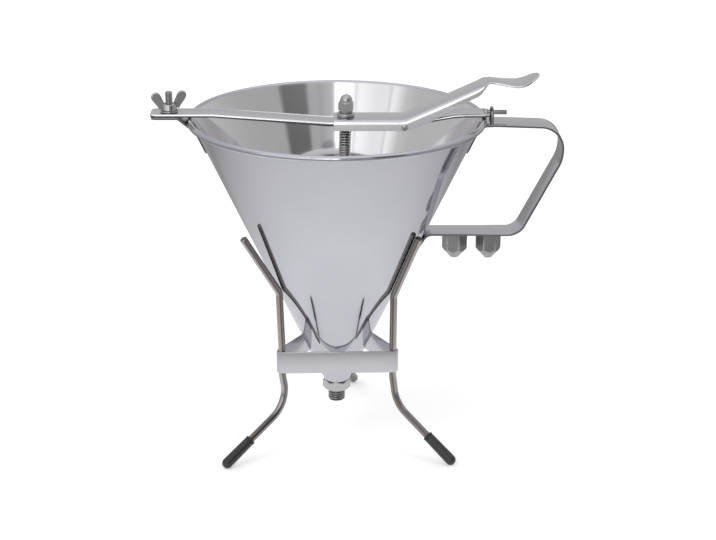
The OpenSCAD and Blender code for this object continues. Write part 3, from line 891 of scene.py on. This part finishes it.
def makeKeeperEye():
    x, r = keeper["x"], keeper["legSpread"]
    stations = [(Vector((x, -r, keeper["footHeight"])), Vector((0, 0, 1)))]
    for k in range(25):
        a = math.pi * k / 24
        point = Vector((x, -r * math.cos(a), keeper["archHeight"] + r * math.sin(a)))
        stations.append((point, Vector((0, math.sin(a), math.cos(a)))))
    stations.append((Vector((x, r, keeper["footHeight"])), Vector((0, 0, -1))))
    verts, faces = sweep(stations, roundSection(keeper["wire"], 20), side=(1, 0, 0))
    makePiece("keeperEye", verts, faces, looks["grey"], "keeper_eye")


makeHandle()
makeBracket()
makeKeeperEye()
print("straps made")

lever = {
    "width": 24.4,
    "thick": 1.2,
    "top": 234.96,
    "endX": -2.2,
    "pivot": (45, 230.36),
    "armEnd": (101.1, 260.2),
    "flangeDepths": ((40, 7.0), (50, 7.6), (60, 7.8), (79, 5.4), (93, 4.9)),
    "cutFrom": 91.5,
    "cutTo": 99.5,
    "bend": 2.8,
    "neckWidth": 16,
    "paddleWidth": 24,
    "paddleTip": (133.8, 264.1),
    "paddleDip": (122.0, 257.2),
    "slotFrom": 4.4,
    "slotTo": 6.0,
    "slotRadius": 3.45,
    "bends": (0, 8.4, 3.6, 15, 0),
    "dish": 0.3,
}

bar = {
    "width": 18,
    "thick": 2.0,
    "tabTop": 238.16,
    "floorTop": 232.16,
    "lip": 0.6,
    "lipThick": 1.2,
    "left": -124,
    "right": 101.9,
    "channelLeft": -82,
    "channelRight": 85,
    "ramp": 8,
    "dipLeft": -6.1,
    "dipRight": 47,
    "endRounding": 4,
    "bends": (0, 2, 2, 40, 30, 2, 2, 0),
    "bossLow": 228.46,
    "bossHalf": (4.37, 8.5),
    "holeClear": 0.3,
    "holeHeights": (176, 196),
}


def barLipTop(x):
    # the line that the upturned edges follow
    dip = bar["floorTop"] + bar["lip"]
    if x < bar["dipLeft"]:
        share = (bar["dipLeft"] - x) / (bar["dipLeft"] - bar["channelLeft"])
    else:
        share = max(0, (x - bar["dipRight"]) / (bar["channelRight"] - bar["dipRight"]))
    return dip + (bar["tabTop"] - dip) * min(1, share)


def barSection(half, depth, t, lipThick):
    # a plate with low raised edges: its lower face lies at across 0 and its edges reach -depth
    lip = max(0.02, min(0.25, (depth - t) * 0.45))
    corners = [
        (-depth, -half, 0.9), (0, -half, 0.4), (0, half, 0.4), (-depth, half, 0.9),
        (-depth, half - lipThick, lip), (-t, half - lipThick, lip),
        (-t, lipThick - half, lip), (-depth, lipThick - half, lip),
    ]
    loop = []
    for i, (a, b, r) in enumerate(corners):
        here = Vector((a, b))
        into = (here - Vector(corners[i - 1][:2])).normalized()
        out = (Vector(corners[(i + 1) % 8][:2]) - here).normalized()
        for k in range(4):
            g = math.pi / 6 * k
            point = here + (out - into) * r + into * r * math.sin(g) - out * r * math.cos(g)
            loop.append((point.x, point.y))
    return loop


def makeCrossbar():
    t, half = bar["thick"], bar["width"] / 2
    corners = [
        (bar["left"], 0, bar["tabTop"] - t), (bar["channelLeft"], 0, bar["tabTop"] - t),
        (bar["channelLeft"] + bar["ramp"], 0, bar["tabTop"] - bar["lip"] - t),
        (bar["dipLeft"], 0, bar["floorTop"] - t), (bar["dipRight"], 0, bar["floorTop"] - t),
        (bar["channelRight"] - bar["ramp"], 0, bar["tabTop"] - bar["lip"] - t),
        (bar["channelRight"], 0, bar["tabTop"] - t), (bar["right"], 0, bar["tabTop"] - t),
    ]
    stations = fineEnds(bendPath(corners, bar["bends"], stepAngle=2, stepLength=4), 4.2, 9)

    def section(i, inset):
        point = stations[i][0]
        lip = max(t + 0.05, barLipTop(point.x) - point.z)
        near = min(point.x - bar["left"], bar["right"] - point.x, bar["endRounding"])
        r = bar["endRounding"]
        w = half - (r - math.sqrt(max(0, r * r - (r - near) ** 2))) * 0.7
        loop = barSection(w - inset, lip - 2 * inset, t - 2 * inset, bar["lipThick"])
        # the sheet's lower face lies on the path
        return [(a - inset, b) for a, b in loop]

    verts, faces = sweep(stations, section, side=(0, 1, 0), cap=0.25)
    edges = (3, 4, 5, 9, 10, 11)
    lips = (0, 1, 2, 12, 13, 14, 15, 16, 17, 18, 28, 29, 30, 31)
    # the raised lips take the brighter metal, a painted highlight along them
    surface = [looks["polishedStrip"], looks["cutEdge"], looks["fold"]]
    piece = makePiece(
        "crossbarPlate", verts, faces, surface, "crossbar",
        facesAlong(faces, 32, edges, lips),
    )
    x, (dx, dy) = lever["pivot"][0], bar["bossHalf"]
    loop = [(x - dx, -dy), (x + dx, -dy), (x + dx, dy), (x - dx, dy)]
    boss, bossFaces = prism(loop, bar["bossLow"], bar["floorTop"] - t / 2)
    addOn(piece, boss, bossFaces, looks["cutEdge"])
    hole, holeFaces = spin([(valve["rodRadius"] + bar["holeClear"], z) for z in bar["holeHeights"]], 48)
    cutOut(piece, moved(hole, rodPlace()), holeFaces)


barPin = {"start": (100.2, 0, 237.66), "radius": 1.5, "length": 13.4}


def makeCrossbarPin():
    r, length = barPin["radius"], barPin["length"]
    rows = roundedRows([(0, 0), (r, 0), (r, length), (0, length)], [0, 0.3, 0.6, 0])
    place = placed(*barPin["start"]) @ rotated(90, "Y")
    turnedPiece("crossbarPin", rows, 32, place, looks["grey"], "crossbar_pin")


valve = {
    "lean": 1.8063,
    "rodRadius": 3.0,
    "threadFrom": 170.0,
    "threadDepth": 0.5,
    "threadPitch": 1.0,
    "plugNose": (3.6, -3.0),
    "plugRadius": 6.9,
    "plugEdge": 2,
    "plugHeight": 8.0,
    "plugTop": (3.8, 13.0),
    "stopLow": 132.25,
    "stopHigh": 137.15,
    "stopRadius": 4.95,
    "washerLow": 190.66,
    "washerThick": 2.2,
    "washerRadius": 6.0,
    "lockThick": 1.8,
    "lockRadius": 4.3,
    "hexAcross": 10.0,
    "hexHeight": 5.4,
    "nutTurn": 24,
    "domeRadius": 4.1,
    "domeHeight": 5.2,
}

coil = {"wire": 0.5, "radius": 3.75, "pitch": 1.8, "low": 137.36, "high": 185.15, "closedTurns": 1.6}


def rodPlace():
    # heights on the rod are measured along it from the cone's lower end
    return placed(0, 0, funnel["endHeight"]) @ rotated(valve["lean"], "Y")


def makeValveRod():
    top = valve["washerLow"] + valve["washerThick"] + valve["lockThick"] + valve["hexHeight"]
    r, threadFrom = valve["rodRadius"], valve["threadFrom"]
    rows = [(0, 0), (r - 0.02, 0), (r, 1), (r, threadFrom)]
    rows += threadRows(
        r, valve["threadDepth"], valve["threadPitch"], threadFrom + 0.2, top,
        chamferHigh=0.5, stepsPerTurn=6,
    )
    rows.append((0, top))
    turnedPiece("valveRod", rows, 32, rodPlace(), looks["grey"], "valve_rod")


def makeValvePlug():
    r, nose, top = valve["plugRadius"], valve["plugNose"], valve["plugTop"]
    rows = roundedRows(
        [(0, nose[1]), nose, (r, valve["plugEdge"]), (r, valve["plugHeight"]), top, (0, top[1])],
        [0, 0.5, 0.4, 1.0, 0.5, 0],
    )
    turnedPiece("valvePlug", rows, 64, rodPlace(), looks["turned"], "valve_plug")


def ringPiece(name, heights, radii, corner, node, place):
    # a washer or collar with rounded outer corners
    (low, high), (inner, outer) = heights, radii
    seam = (inner, (low + high) / 2)
    rows = roundedRows(
        [seam, (inner, low), (outer, low), (outer, high), (inner, high), seam],
        [0, corner / 2, corner, corner, corner / 2, 0],
    )
    turnedPiece(name, rows[:-1], 64, place, looks["turned"], node, closed=True)


def makeLockWasher():
    # a split spring washer: one turn of flat wire with a slanted gap
    low = valve["washerLow"] + valve["washerThick"]
    inner, outer, t = valve["rodRadius"] + 0.05, valve["lockRadius"], valve["lockThick"]
    middle = (inner + outer) / 2
    stations = []
    for k in range(61):
        a = math.radians(200 + 346 * k / 60)
        point = Vector((middle * math.cos(a), middle * math.sin(a), low + t / 2))
        stations.append((point, Vector((-math.sin(a), math.cos(a), 0))))
    verts, faces = sweep(stations, flatSection(outer - inner, t - 0.05, 0.25), side=(0, 0, 1))
    makePiece("lockWasher", moved(verts, rodPlace()), faces, looks["grey"], "lock_washer")


def makeCapNut():
    low = valve["washerLow"] + valve["washerThick"] + valve["lockThick"]
    hexTop = low + valve["hexHeight"]
    dome, top = valve["domeRadius"], hexTop + valve["domeHeight"]
    inner = valve["rodRadius"] + 0.03
    rows = [(inner, hexTop + 0.1), (inner, low), (valve["hexAcross"] / 2 - 0.5, low)]
    rows += hexRows(valve["hexAcross"], low, hexTop, 0.7)
    rows += [(dome + 0.25, hexTop), (dome, hexTop + 0.35)]
    rows += arc((0, top - dome), dome, 0, 90, 12)
    rows.insert(0, (0, hexTop + 0.1))
    place = rodPlace() @ rotated(valve["nutTurn"])
    turnedPiece("capNut", rows, 96, place, looks["turned"], "cap_nut")


def makeSpring():
    # the end turns are closed up, as on a wound compression spring
    low, high = coil["low"] + coil["wire"], coil["high"] - coil["wire"]
    flat = coil["closedTurns"]
    closed = flat * coil["wire"] * 2.1
    free = (high - low - 2 * closed) / coil["pitch"]
    turns = free + 2 * flat
    steps = round(turns * 20)

    def height(turn):
        if turn < flat:
            return low + closed * turn / flat
        if turn > turns - flat:
            return high - closed * (turns - turn) / flat
        return low + closed + (turn - flat) * coil["pitch"]

    points, r = [], coil["radius"]
    for k in range(steps + 1):
        turn = turns * k / steps
        a = math.tau * turn
        points.append(Vector((r * math.cos(a), r * math.sin(a), height(turn))))
    stations = []
    for k, point in enumerate(points):
        heading = (points[min(k + 1, steps)] - points[max(k - 1, 0)]).normalized()
        stations.append((point, heading))
    verts, faces = sweep(stations, roundSection(coil["wire"], 10), side=(0, 0, 1), cap=0.1)
    place = rodPlace()
    verts = moved(verts, place)
    piece = makePiece("returnSpring", verts, faces, looks["spring"], "return_spring")
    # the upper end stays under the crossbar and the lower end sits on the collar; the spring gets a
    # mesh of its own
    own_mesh(piece)


makeCrossbar()
makeCrossbarPin()
makeValveRod()
makeValvePlug()
onRod = valve["rodRadius"] + 0.03
ringPiece(
    "springStop", (valve["stopLow"], valve["stopHigh"]), (onRod, valve["stopRadius"]), 0.5,
    "spring_stop", rodPlace(),
)
ringPiece(
    "liftWasher", (valve["washerLow"], valve["washerLow"] + valve["washerThick"]),
    (onRod, valve["washerRadius"]), 0.6, "lift_washer", rodPlace(),
)
makeLockWasher()
makeCapNut()
makeSpring()
print("crossbar and valve made")


def leverHalfWidth(x):
    # full width along the channel, narrow at the neck and round at the paddle's end
    half, neck, blade = lever["width"] / 2, lever["neckWidth"] / 2, lever["paddleWidth"] / 2
    tip = lever["paddleTip"][0]
    width = half + (neck - half) * smoothStep(x, 97.0, 101.0)
    width += (blade - neck) * smoothStep(x, 103.5, tip - blade)
    past = x - (tip - blade)
    if past > 0:
        width = math.sqrt(max(0.0, blade * blade - past * past))
    return max(width, 1.2)


def leverDepth(x):
    # the edges are folded down along the channel and cut off on a slant before the neck
    t = lever["thick"]
    full = between(lever["flangeDepths"], x)
    return t + 0.04 + (full - t) * (1 - smoothStep(x, lever["cutFrom"], lever["cutTo"]))


def makeLever():
    t = lever["thick"]
    corners = [(lever["endX"], 0, lever["top"]), (lever["pivot"][0], 0, lever["top"])]
    corners += [(x, 0, z) for x, z in (lever["armEnd"], lever["paddleDip"], lever["paddleTip"])]
    stations = bendPath(corners, lever["bends"], stepAngle=3, stepLength=1.2)
    end, heading = stations[-1]
    before = stations[-2][0]
    shares = (0.35, 0.6, 0.78, 0.9, 0.97, 1.0)  # closer towards the rounded tip
    stations = stations[:-1] + [(before.lerp(end, share), heading) for share in shares]

    def section(i, inset):
        x = stations[i][0].x
        half, depth = leverHalfWidth(x), leverDepth(x)
        fold = lever["bend"] if depth > t + 0.5 else 0.5
        loop = channelSection(half - inset, depth - 2 * inset, t - 2 * inset, fold)
        # the paddle is dished a little, and its edges turn up
        dish = lever["dish"] * smoothStep(x, 106, 122)
        return [(a - inset + dish * (b / 12) ** 2, b) for a, b in loop]

    verts, faces = sweep(stations, section, side=(0, -1, 0), cap=0.25)
    # the flanges' outer faces and the folds take the brighter metal, a painted highlight
    group = facesAlong(faces, 24, (0, 1, 2, 10, 11, 12))
    surface = [looks["polishedStrip"], looks["fold"]]
    piece = makePiece("leverSheet", verts, faces, surface, "lever", group)
    cutSlot(piece)


def cutSlot(piece):
    # the slot that the valve rod stands in
    r = lever["slotRadius"]
    loop = arc((lever["slotTo"], 0), r, -90, 90, 24) + arc((lever["slotFrom"], 0), r, 90, 270, 24)
    cutOut(piece, *prism(loop, lever["top"] - 2.2, lever["top"] + 1.5))


pivotPin = {"radius": 1.2, "head": ((0, 1.0), (1.1, 0.92), (1.8, 0.6), (2.2, 0.02))}


def makePivotPin():
    # a rivet with a low domed head at each side
    half, r, head = lever["width"] / 2, pivotPin["radius"], pivotPin["head"]
    rows = [(across, -half - rise) for across, rise in head] + [(r, -half), (r, half)]
    rows += [(across, half + rise) for across, rise in reversed(head)]
    x, z = lever["pivot"]
    place = placed(x, 0, z) @ rotated(-90, "X")
    turnedPiece("pivotPin", rows, 40, place, looks["turned"], "pivot_pin")


makeLever()
makePivotPin()
print("lever made")

clamp = {
    "x": -111.7,
    "studRadius": 2.5,
    "studLow": 234.66,
    "studTop": 251.76,
    "threadDepth": 0.42,
    "threadPitch": 0.8,
    "washerLow": 238.21,
    "washerThick": 1.0,
    "washerRadius": 6.0,
    "nutLow": 239.26,
    "hubRadius": 5.5,
    "hubTopRadius": 4.6,
    "hubHeight": 4.5,
    "wingSpan": 24,
    "wingHeight": 12.5,
    "wingThick": 2.0,
    "wingRoot": (4.5, 1.9),
    "wingRootHalf": 2.5,
    "wingLayers": ((0, 0.82), (0.25, 0.93), (0.7, 1.0)),
    "turn": 20,
}


def makeClampStud():
    r, low, top = clamp["studRadius"], clamp["studLow"], clamp["studTop"]
    rows = [(0, low), (r - 0.05, low)]
    rows += threadRows(
        r, clamp["threadDepth"], clamp["threadPitch"], low + 0.1, top, chamferHigh=0.6, stepsPerTurn=8
    )
    rows.append((0, top))
    place = placed(clamp["x"], 0, 0)
    turnedPiece("clampStud", rows, 40, place, looks["grey"], "clamp_stud")


def makeWingNut():
    r, top = clamp["studRadius"] + 0.06, clamp["hubHeight"]
    rows = roundedRows(
        [(r, 2), (r, 0), (clamp["hubRadius"], 0), (clamp["hubTopRadius"], top), (r, top), (r, 2)],
        [0, 0.3, 0.5, 0.9, 0.3, 0],
    )
    place = placed(clamp["x"], 0, clamp["nutLow"]) @ rotated(clamp["turn"])
    nut = turnedPiece(
        "wingNut", rows[:-1], 64, place, looks["turned"], "wing_nut", closed=True
    )
    for side in (1, -1):
        wing, wingFaces = wingShape(side)
        addOn(nut, moved(wing, place), wingFaces, looks["turned"])


def wingShape(side):
    # a slanted ear, narrow at the hub and round at the tip, with softened edges
    tipRadius, rootHalf = clamp["wingSpan"] * 0.13, clamp["wingRootHalf"]
    tip = Vector((clamp["wingSpan"] / 2 - tipRadius, clamp["wingHeight"] - tipRadius))
    root = Vector(clamp["wingRoot"])
    along = (tip - root).normalized()
    across = Vector((-along.y, along.x))
    length = (tip - root).length

    def edge(share, way):
        width = rootHalf + (tipRadius - rootHalf) * smoothStep(share, 0.1, 0.9)
        return root + along * length * share + across * width * way

    outline = [edge(k / 24, -1) for k in range(25)]
    for k in range(1, 24):
        a = math.pi * k / 24
        outline.append(tip - across * tipRadius * math.cos(a) + along * tipRadius * math.sin(a))
    outline += [edge(1 - k / 24, 1) for k in range(25)]
    centre = (root + tip) / 2
    half = clamp["wingThick"] / 2
    layers = [(y - half, scale) for y, scale in clamp["wingLayers"]]
    layers += [(half - y, scale) for y, scale in reversed(clamp["wingLayers"])]
    loops = []
    for y, scale in layers:
        inset = (1 - scale) * 3.2
        shrunk = [point - (point - centre).normalized() * inset for point in outline]
        loops.append([(side * point.x, y, max(0.4, point.y)) for point in shrunk])
    return stacked(loops)


makeClampStud()
ringPiece(
    "wingWasher", (clamp["washerLow"], clamp["washerLow"] + clamp["washerThick"]),
    (clamp["studRadius"] + 0.2, clamp["washerRadius"]), 0.25,
    "wing_washer", placed(clamp["x"], 0, 0),
)
makeWingNut()
print("clamp made")

nozzles = {
    "each": {
        "nozzle_a": {"x": 80.9, "jet": 1.5, "turn": -12, "stud": "nozzle_stud_a"},
        "nozzle_b": {"x": 104.0, "jet": 2.5, "turn": 2, "stud": "nozzle_stud_b"},
    },
    "top": 153.36,
    "length": 17.9,
    "across": 15.0,
    "coneHeight": 6.6,
    "tipRadius": 3.0,
    "boreRadius": 6.06,
    "boreDepth": 7.5,
    "studRadius": 6.0,
    "studLength": 7.0,
}


def makeNozzles():
    for node, own in nozzles["each"].items():
        rows, stud = nozzleRows(own["jet"]), own["stud"]
        place = placed(own["x"], 0, nozzles["top"] - nozzles["length"]) @ rotated(own["turn"])
        turnedPiece(
            node + "Body", rows, 96, place, looks["nozzle"], node, closed=True
        )
        r, length = nozzles["studRadius"], nozzles["studLength"]
        rows = [(0, 0), (r - 0.6, 0), (r, 0.6), (r, length), (0, length)]
        place = placed(own["x"], 0, nozzles["top"] + 0.1 - length)
        turnedPiece(stud + "Post", rows, 64, place, looks["grey"], stud)


def nozzleRows(jet):
    # a hexagon that runs down to a cone, bored from above and drilled through at the tip
    length, across, tip = nozzles["length"], nozzles["across"], nozzles["tipRadius"]
    bore, boreEnd = nozzles["boreRadius"], length - nozzles["boreDepth"]
    corner = across / 2 / math.cos(math.pi / 6)
    rows = [(jet, boreEnd - 1), (jet, 0.3), (jet + 0.3, 0), (tip - 0.4, 0), (tip, 0.3)]
    for k in range(1, 17):
        share = k / 16
        height = 0.3 + (nozzles["coneHeight"] - 0.3) * share
        rows.append((hexLimit(across, tip + (corner - tip) * share), height))
    for k in range(5):
        rows.append((hexLimit(across, corner - 0.9 * k / 4), length - 0.5 + 0.5 * k / 4))
    return rows + [(bore + 0.3, length), (bore, length - 0.3), (bore, boreEnd)]


makeNozzles()
print("nozzles made")

studio = {
    "cameraPlace": (0, -1.050, 0.5137),
    "cameraTilt": 20.3,
    "cameraShift": 0.0298,
    "lens": 81.4,
    "sensorWidth": 36,
    "floorSize": 9.0,
    "floorColour": (0.90, 0.90, 0.90),
    # floorInMetal and glowInMetal paint a pool of light round the stand, seen only in the metal
    "floorInMetal": (0.70, 0.38),
    "floorGlow": 0.30,
    "glowInMetal": (0.33, 0.0),
    "fadeFrom": 0.13,
    "fadeTo": 0.42,
    "skyColour": (0.80, 0.80, 0.80),
    "skyAbove": (0.92, 0.93, 0.96),
    "skyHeights": (0.45, 0.95),
    "lamps": {
        "keyLamp": {"place": (-1.1, -0.9, 1.5), "size": 0.9, "watts": 7},
        "fillLamp": {"place": (1.3, -0.5, 1.2), "size": 0.8, "watts": 4},
    },
    "lampAim": (0, 0, 0.1),
    # degrees round from the front, positive to the right, and brightness
    "panels": (
        (-180, 0.58), (-150, 0.56), (-120, 0.56), (-80, 0.56), (-66, 0.66), (-58, 0.98), (-53, 1.12),
        (-51, 0.68), (-49.5, 1.0), (-38, 1.0), (-24, 1.22), (-20, 1.18), (-18.4, 0.80), (-17, 1.25),
        (-9, 1.5), (-7, 1.9), (-6, 1.9), (-4.8, 0.85), (-3.6, 1.9), (0, 1.9), (3.5, 0.50), (12, 0.42),
        (16, 0.35), (19, 0.41), (26.5, 0.41), (29, 0.105), (51, 0.14), (55, 0.44), (96, 0.48),
        (125, 0.56), (150, 0.56), (180, 0.58),
    ),
}


def makeCamera():
    data = bpy.data.cameras.new("camera")
    data.lens = studio["lens"]
    data.sensor_fit = "HORIZONTAL"
    data.sensor_width = studio["sensorWidth"]
    data.shift_x = studio["cameraShift"]
    data.clip_start = 0.01
    camera = addObject("camera", data)
    x, y, z = studio["cameraPlace"]
    camera.location = (x, y, z + floorZ)
    camera.rotation_euler = (math.radians(90 - studio["cameraTilt"]), 0, 0)
    bpy.context.scene.camera = camera


def makeFloor():
    half = studio["floorSize"] / 2
    mesh = bpy.data.meshes.new("floor")
    corners = [(-half, -half), (half, -half), (half, half), (-half, half)]
    mesh.from_pydata([(x, y, floorZ) for x, y in corners], [], [(0, 1, 2, 3)])
    floor = addObject("floor", mesh)
    mesh.materials.append(floorLook())


def floorLook():
    # seen directly the floor is a white sweep; the metal sees a painted pool of light on it, glowing
    # near the stand and greyer with distance
    look = bpy.data.materials.new("paleFloor")
    look.use_nodes = True
    tree = look.node_tree
    shader = tree.nodes["Principled BSDF"]
    shader.inputs["Roughness"].default_value = 0.9
    shader.inputs["Specular IOR Level"].default_value = 0.0
    rays = addNode(tree, "LightPath", {}).outputs
    place = addNode(tree, "NewGeometry", {}).outputs["Position"]
    away = addNode(tree, "VectorMath", {0: place}, operation="LENGTH").outputs["Value"]
    inMetal = rays["Is Glossy Ray"]

    def faded(near, far):
        ends = {"From Min": studio["fadeFrom"], "From Max": studio["fadeTo"]}
        ends.update({"To Min": near, "To Max": far, "Value": away})
        return addNode(tree, "MapRange", ends).outputs["Result"]

    glow = {"A": 0.0, "B": faded(*studio["glowInMetal"]), "Factor": inMetal}
    level = addNode(tree, "Mix", glow).outputs["Result"]
    grey = faded(*studio["floorInMetal"])
    tones = {"A": (*studio["floorColour"], 1), "B": grey, "Factor": inMetal}
    tone = addNode(tree, "Mix", tones, data_type="RGBA")
    tree.links.new(tone.outputs["Result"], shader.inputs["Base Color"])
    parts = {0: rays["Is Camera Ray"], 1: studio["floorGlow"], 2: level}
    total = addNode(tree, "Math", parts, operation="MULTIPLY_ADD").outputs[0]
    light = addNode(tree, "Emission", {"Color": (1, 1, 1, 1), "Strength": total})
    both = addNode(tree, "AddShader", {0: shader.outputs[0], 1: light.outputs[0]})
    tree.links.new(both.outputs[0], tree.nodes["Material Output"].inputs["Surface"])
    return look


def makeWorld():
    world = bpy.data.worlds.new("studio")
    bpy.context.scene.world = world
    world.use_nodes = True
    tree = world.node_tree
    tree.nodes.clear()
    # the room that the metal reflects: panels and gaps round the horizon, one tone above
    place = addNode(tree, "TexCoord", {}).outputs["Generated"]
    split = addNode(tree, "SeparateXYZ", {0: place}).outputs
    front = addNode(tree, "Math", {0: split["Y"], 1: -1.0}, operation="MULTIPLY").outputs[0]
    around = addNode(tree, "Math", {0: split["X"], 1: front}, operation="ARCTAN2").outputs[0]
    turn = addNode(tree, "MapRange", {"From Min": -math.pi, "From Max": math.pi, "Value": around})
    stops = [((degrees + 180) / 360, level) for degrees, level in studio["panels"]]
    panels = addRamp(tree, turn.outputs["Result"], stops, blueness=1.01)
    low, high = studio["skyHeights"]
    rise = {"From Min": low, "From Max": high, "Value": split["Z"]}
    height = addNode(tree, "MapRange", rise, interpolation_type="SMOOTHSTEP").outputs["Result"]
    tones = {"A": panels, "B": (*studio["skyAbove"], 1), "Factor": height}
    above = addNode(tree, "Mix", tones, data_type="RGBA").outputs["Result"]
    room = addNode(tree, "Background", {"Color": above}).outputs[0]
    plain = addNode(tree, "Background", {"Color": (*studio["skyColour"], 1)}).outputs[0]
    white = addNode(tree, "Background", {"Color": (1, 1, 1, 1)}).outputs[0]
    rays = addNode(tree, "LightPath", {}).outputs
    seen = {"Fac": rays["Is Glossy Ray"], 1: plain, 2: room}
    seen = {"Fac": rays["Is Camera Ray"], 1: addNode(tree, "MixShader", seen).outputs[0], 2: white}
    addNode(tree, "OutputWorld", {"Surface": addNode(tree, "MixShader", seen).outputs[0]})


def makeLamps():
    for name, own in studio["lamps"].items():
        data = bpy.data.lights.new(name, "AREA")
        data.shape = "RECTANGLE"
        data.size = data.size_y = own["size"]
        data.energy = own["watts"]
        lamp = addObject(name, data)
        lamp.location = own["place"]
        lamp.visible_glossy = False
        toward = Vector(studio["lampAim"]) - Vector(own["place"])
        lamp.rotation_euler = toward.to_track_quat("-Z", "Y").to_euler()


makeCamera()
makeFloor()
makeWorld()
makeLamps()
bpy.context.scene.view_settings.view_transform = "Standard"
print("studio made")
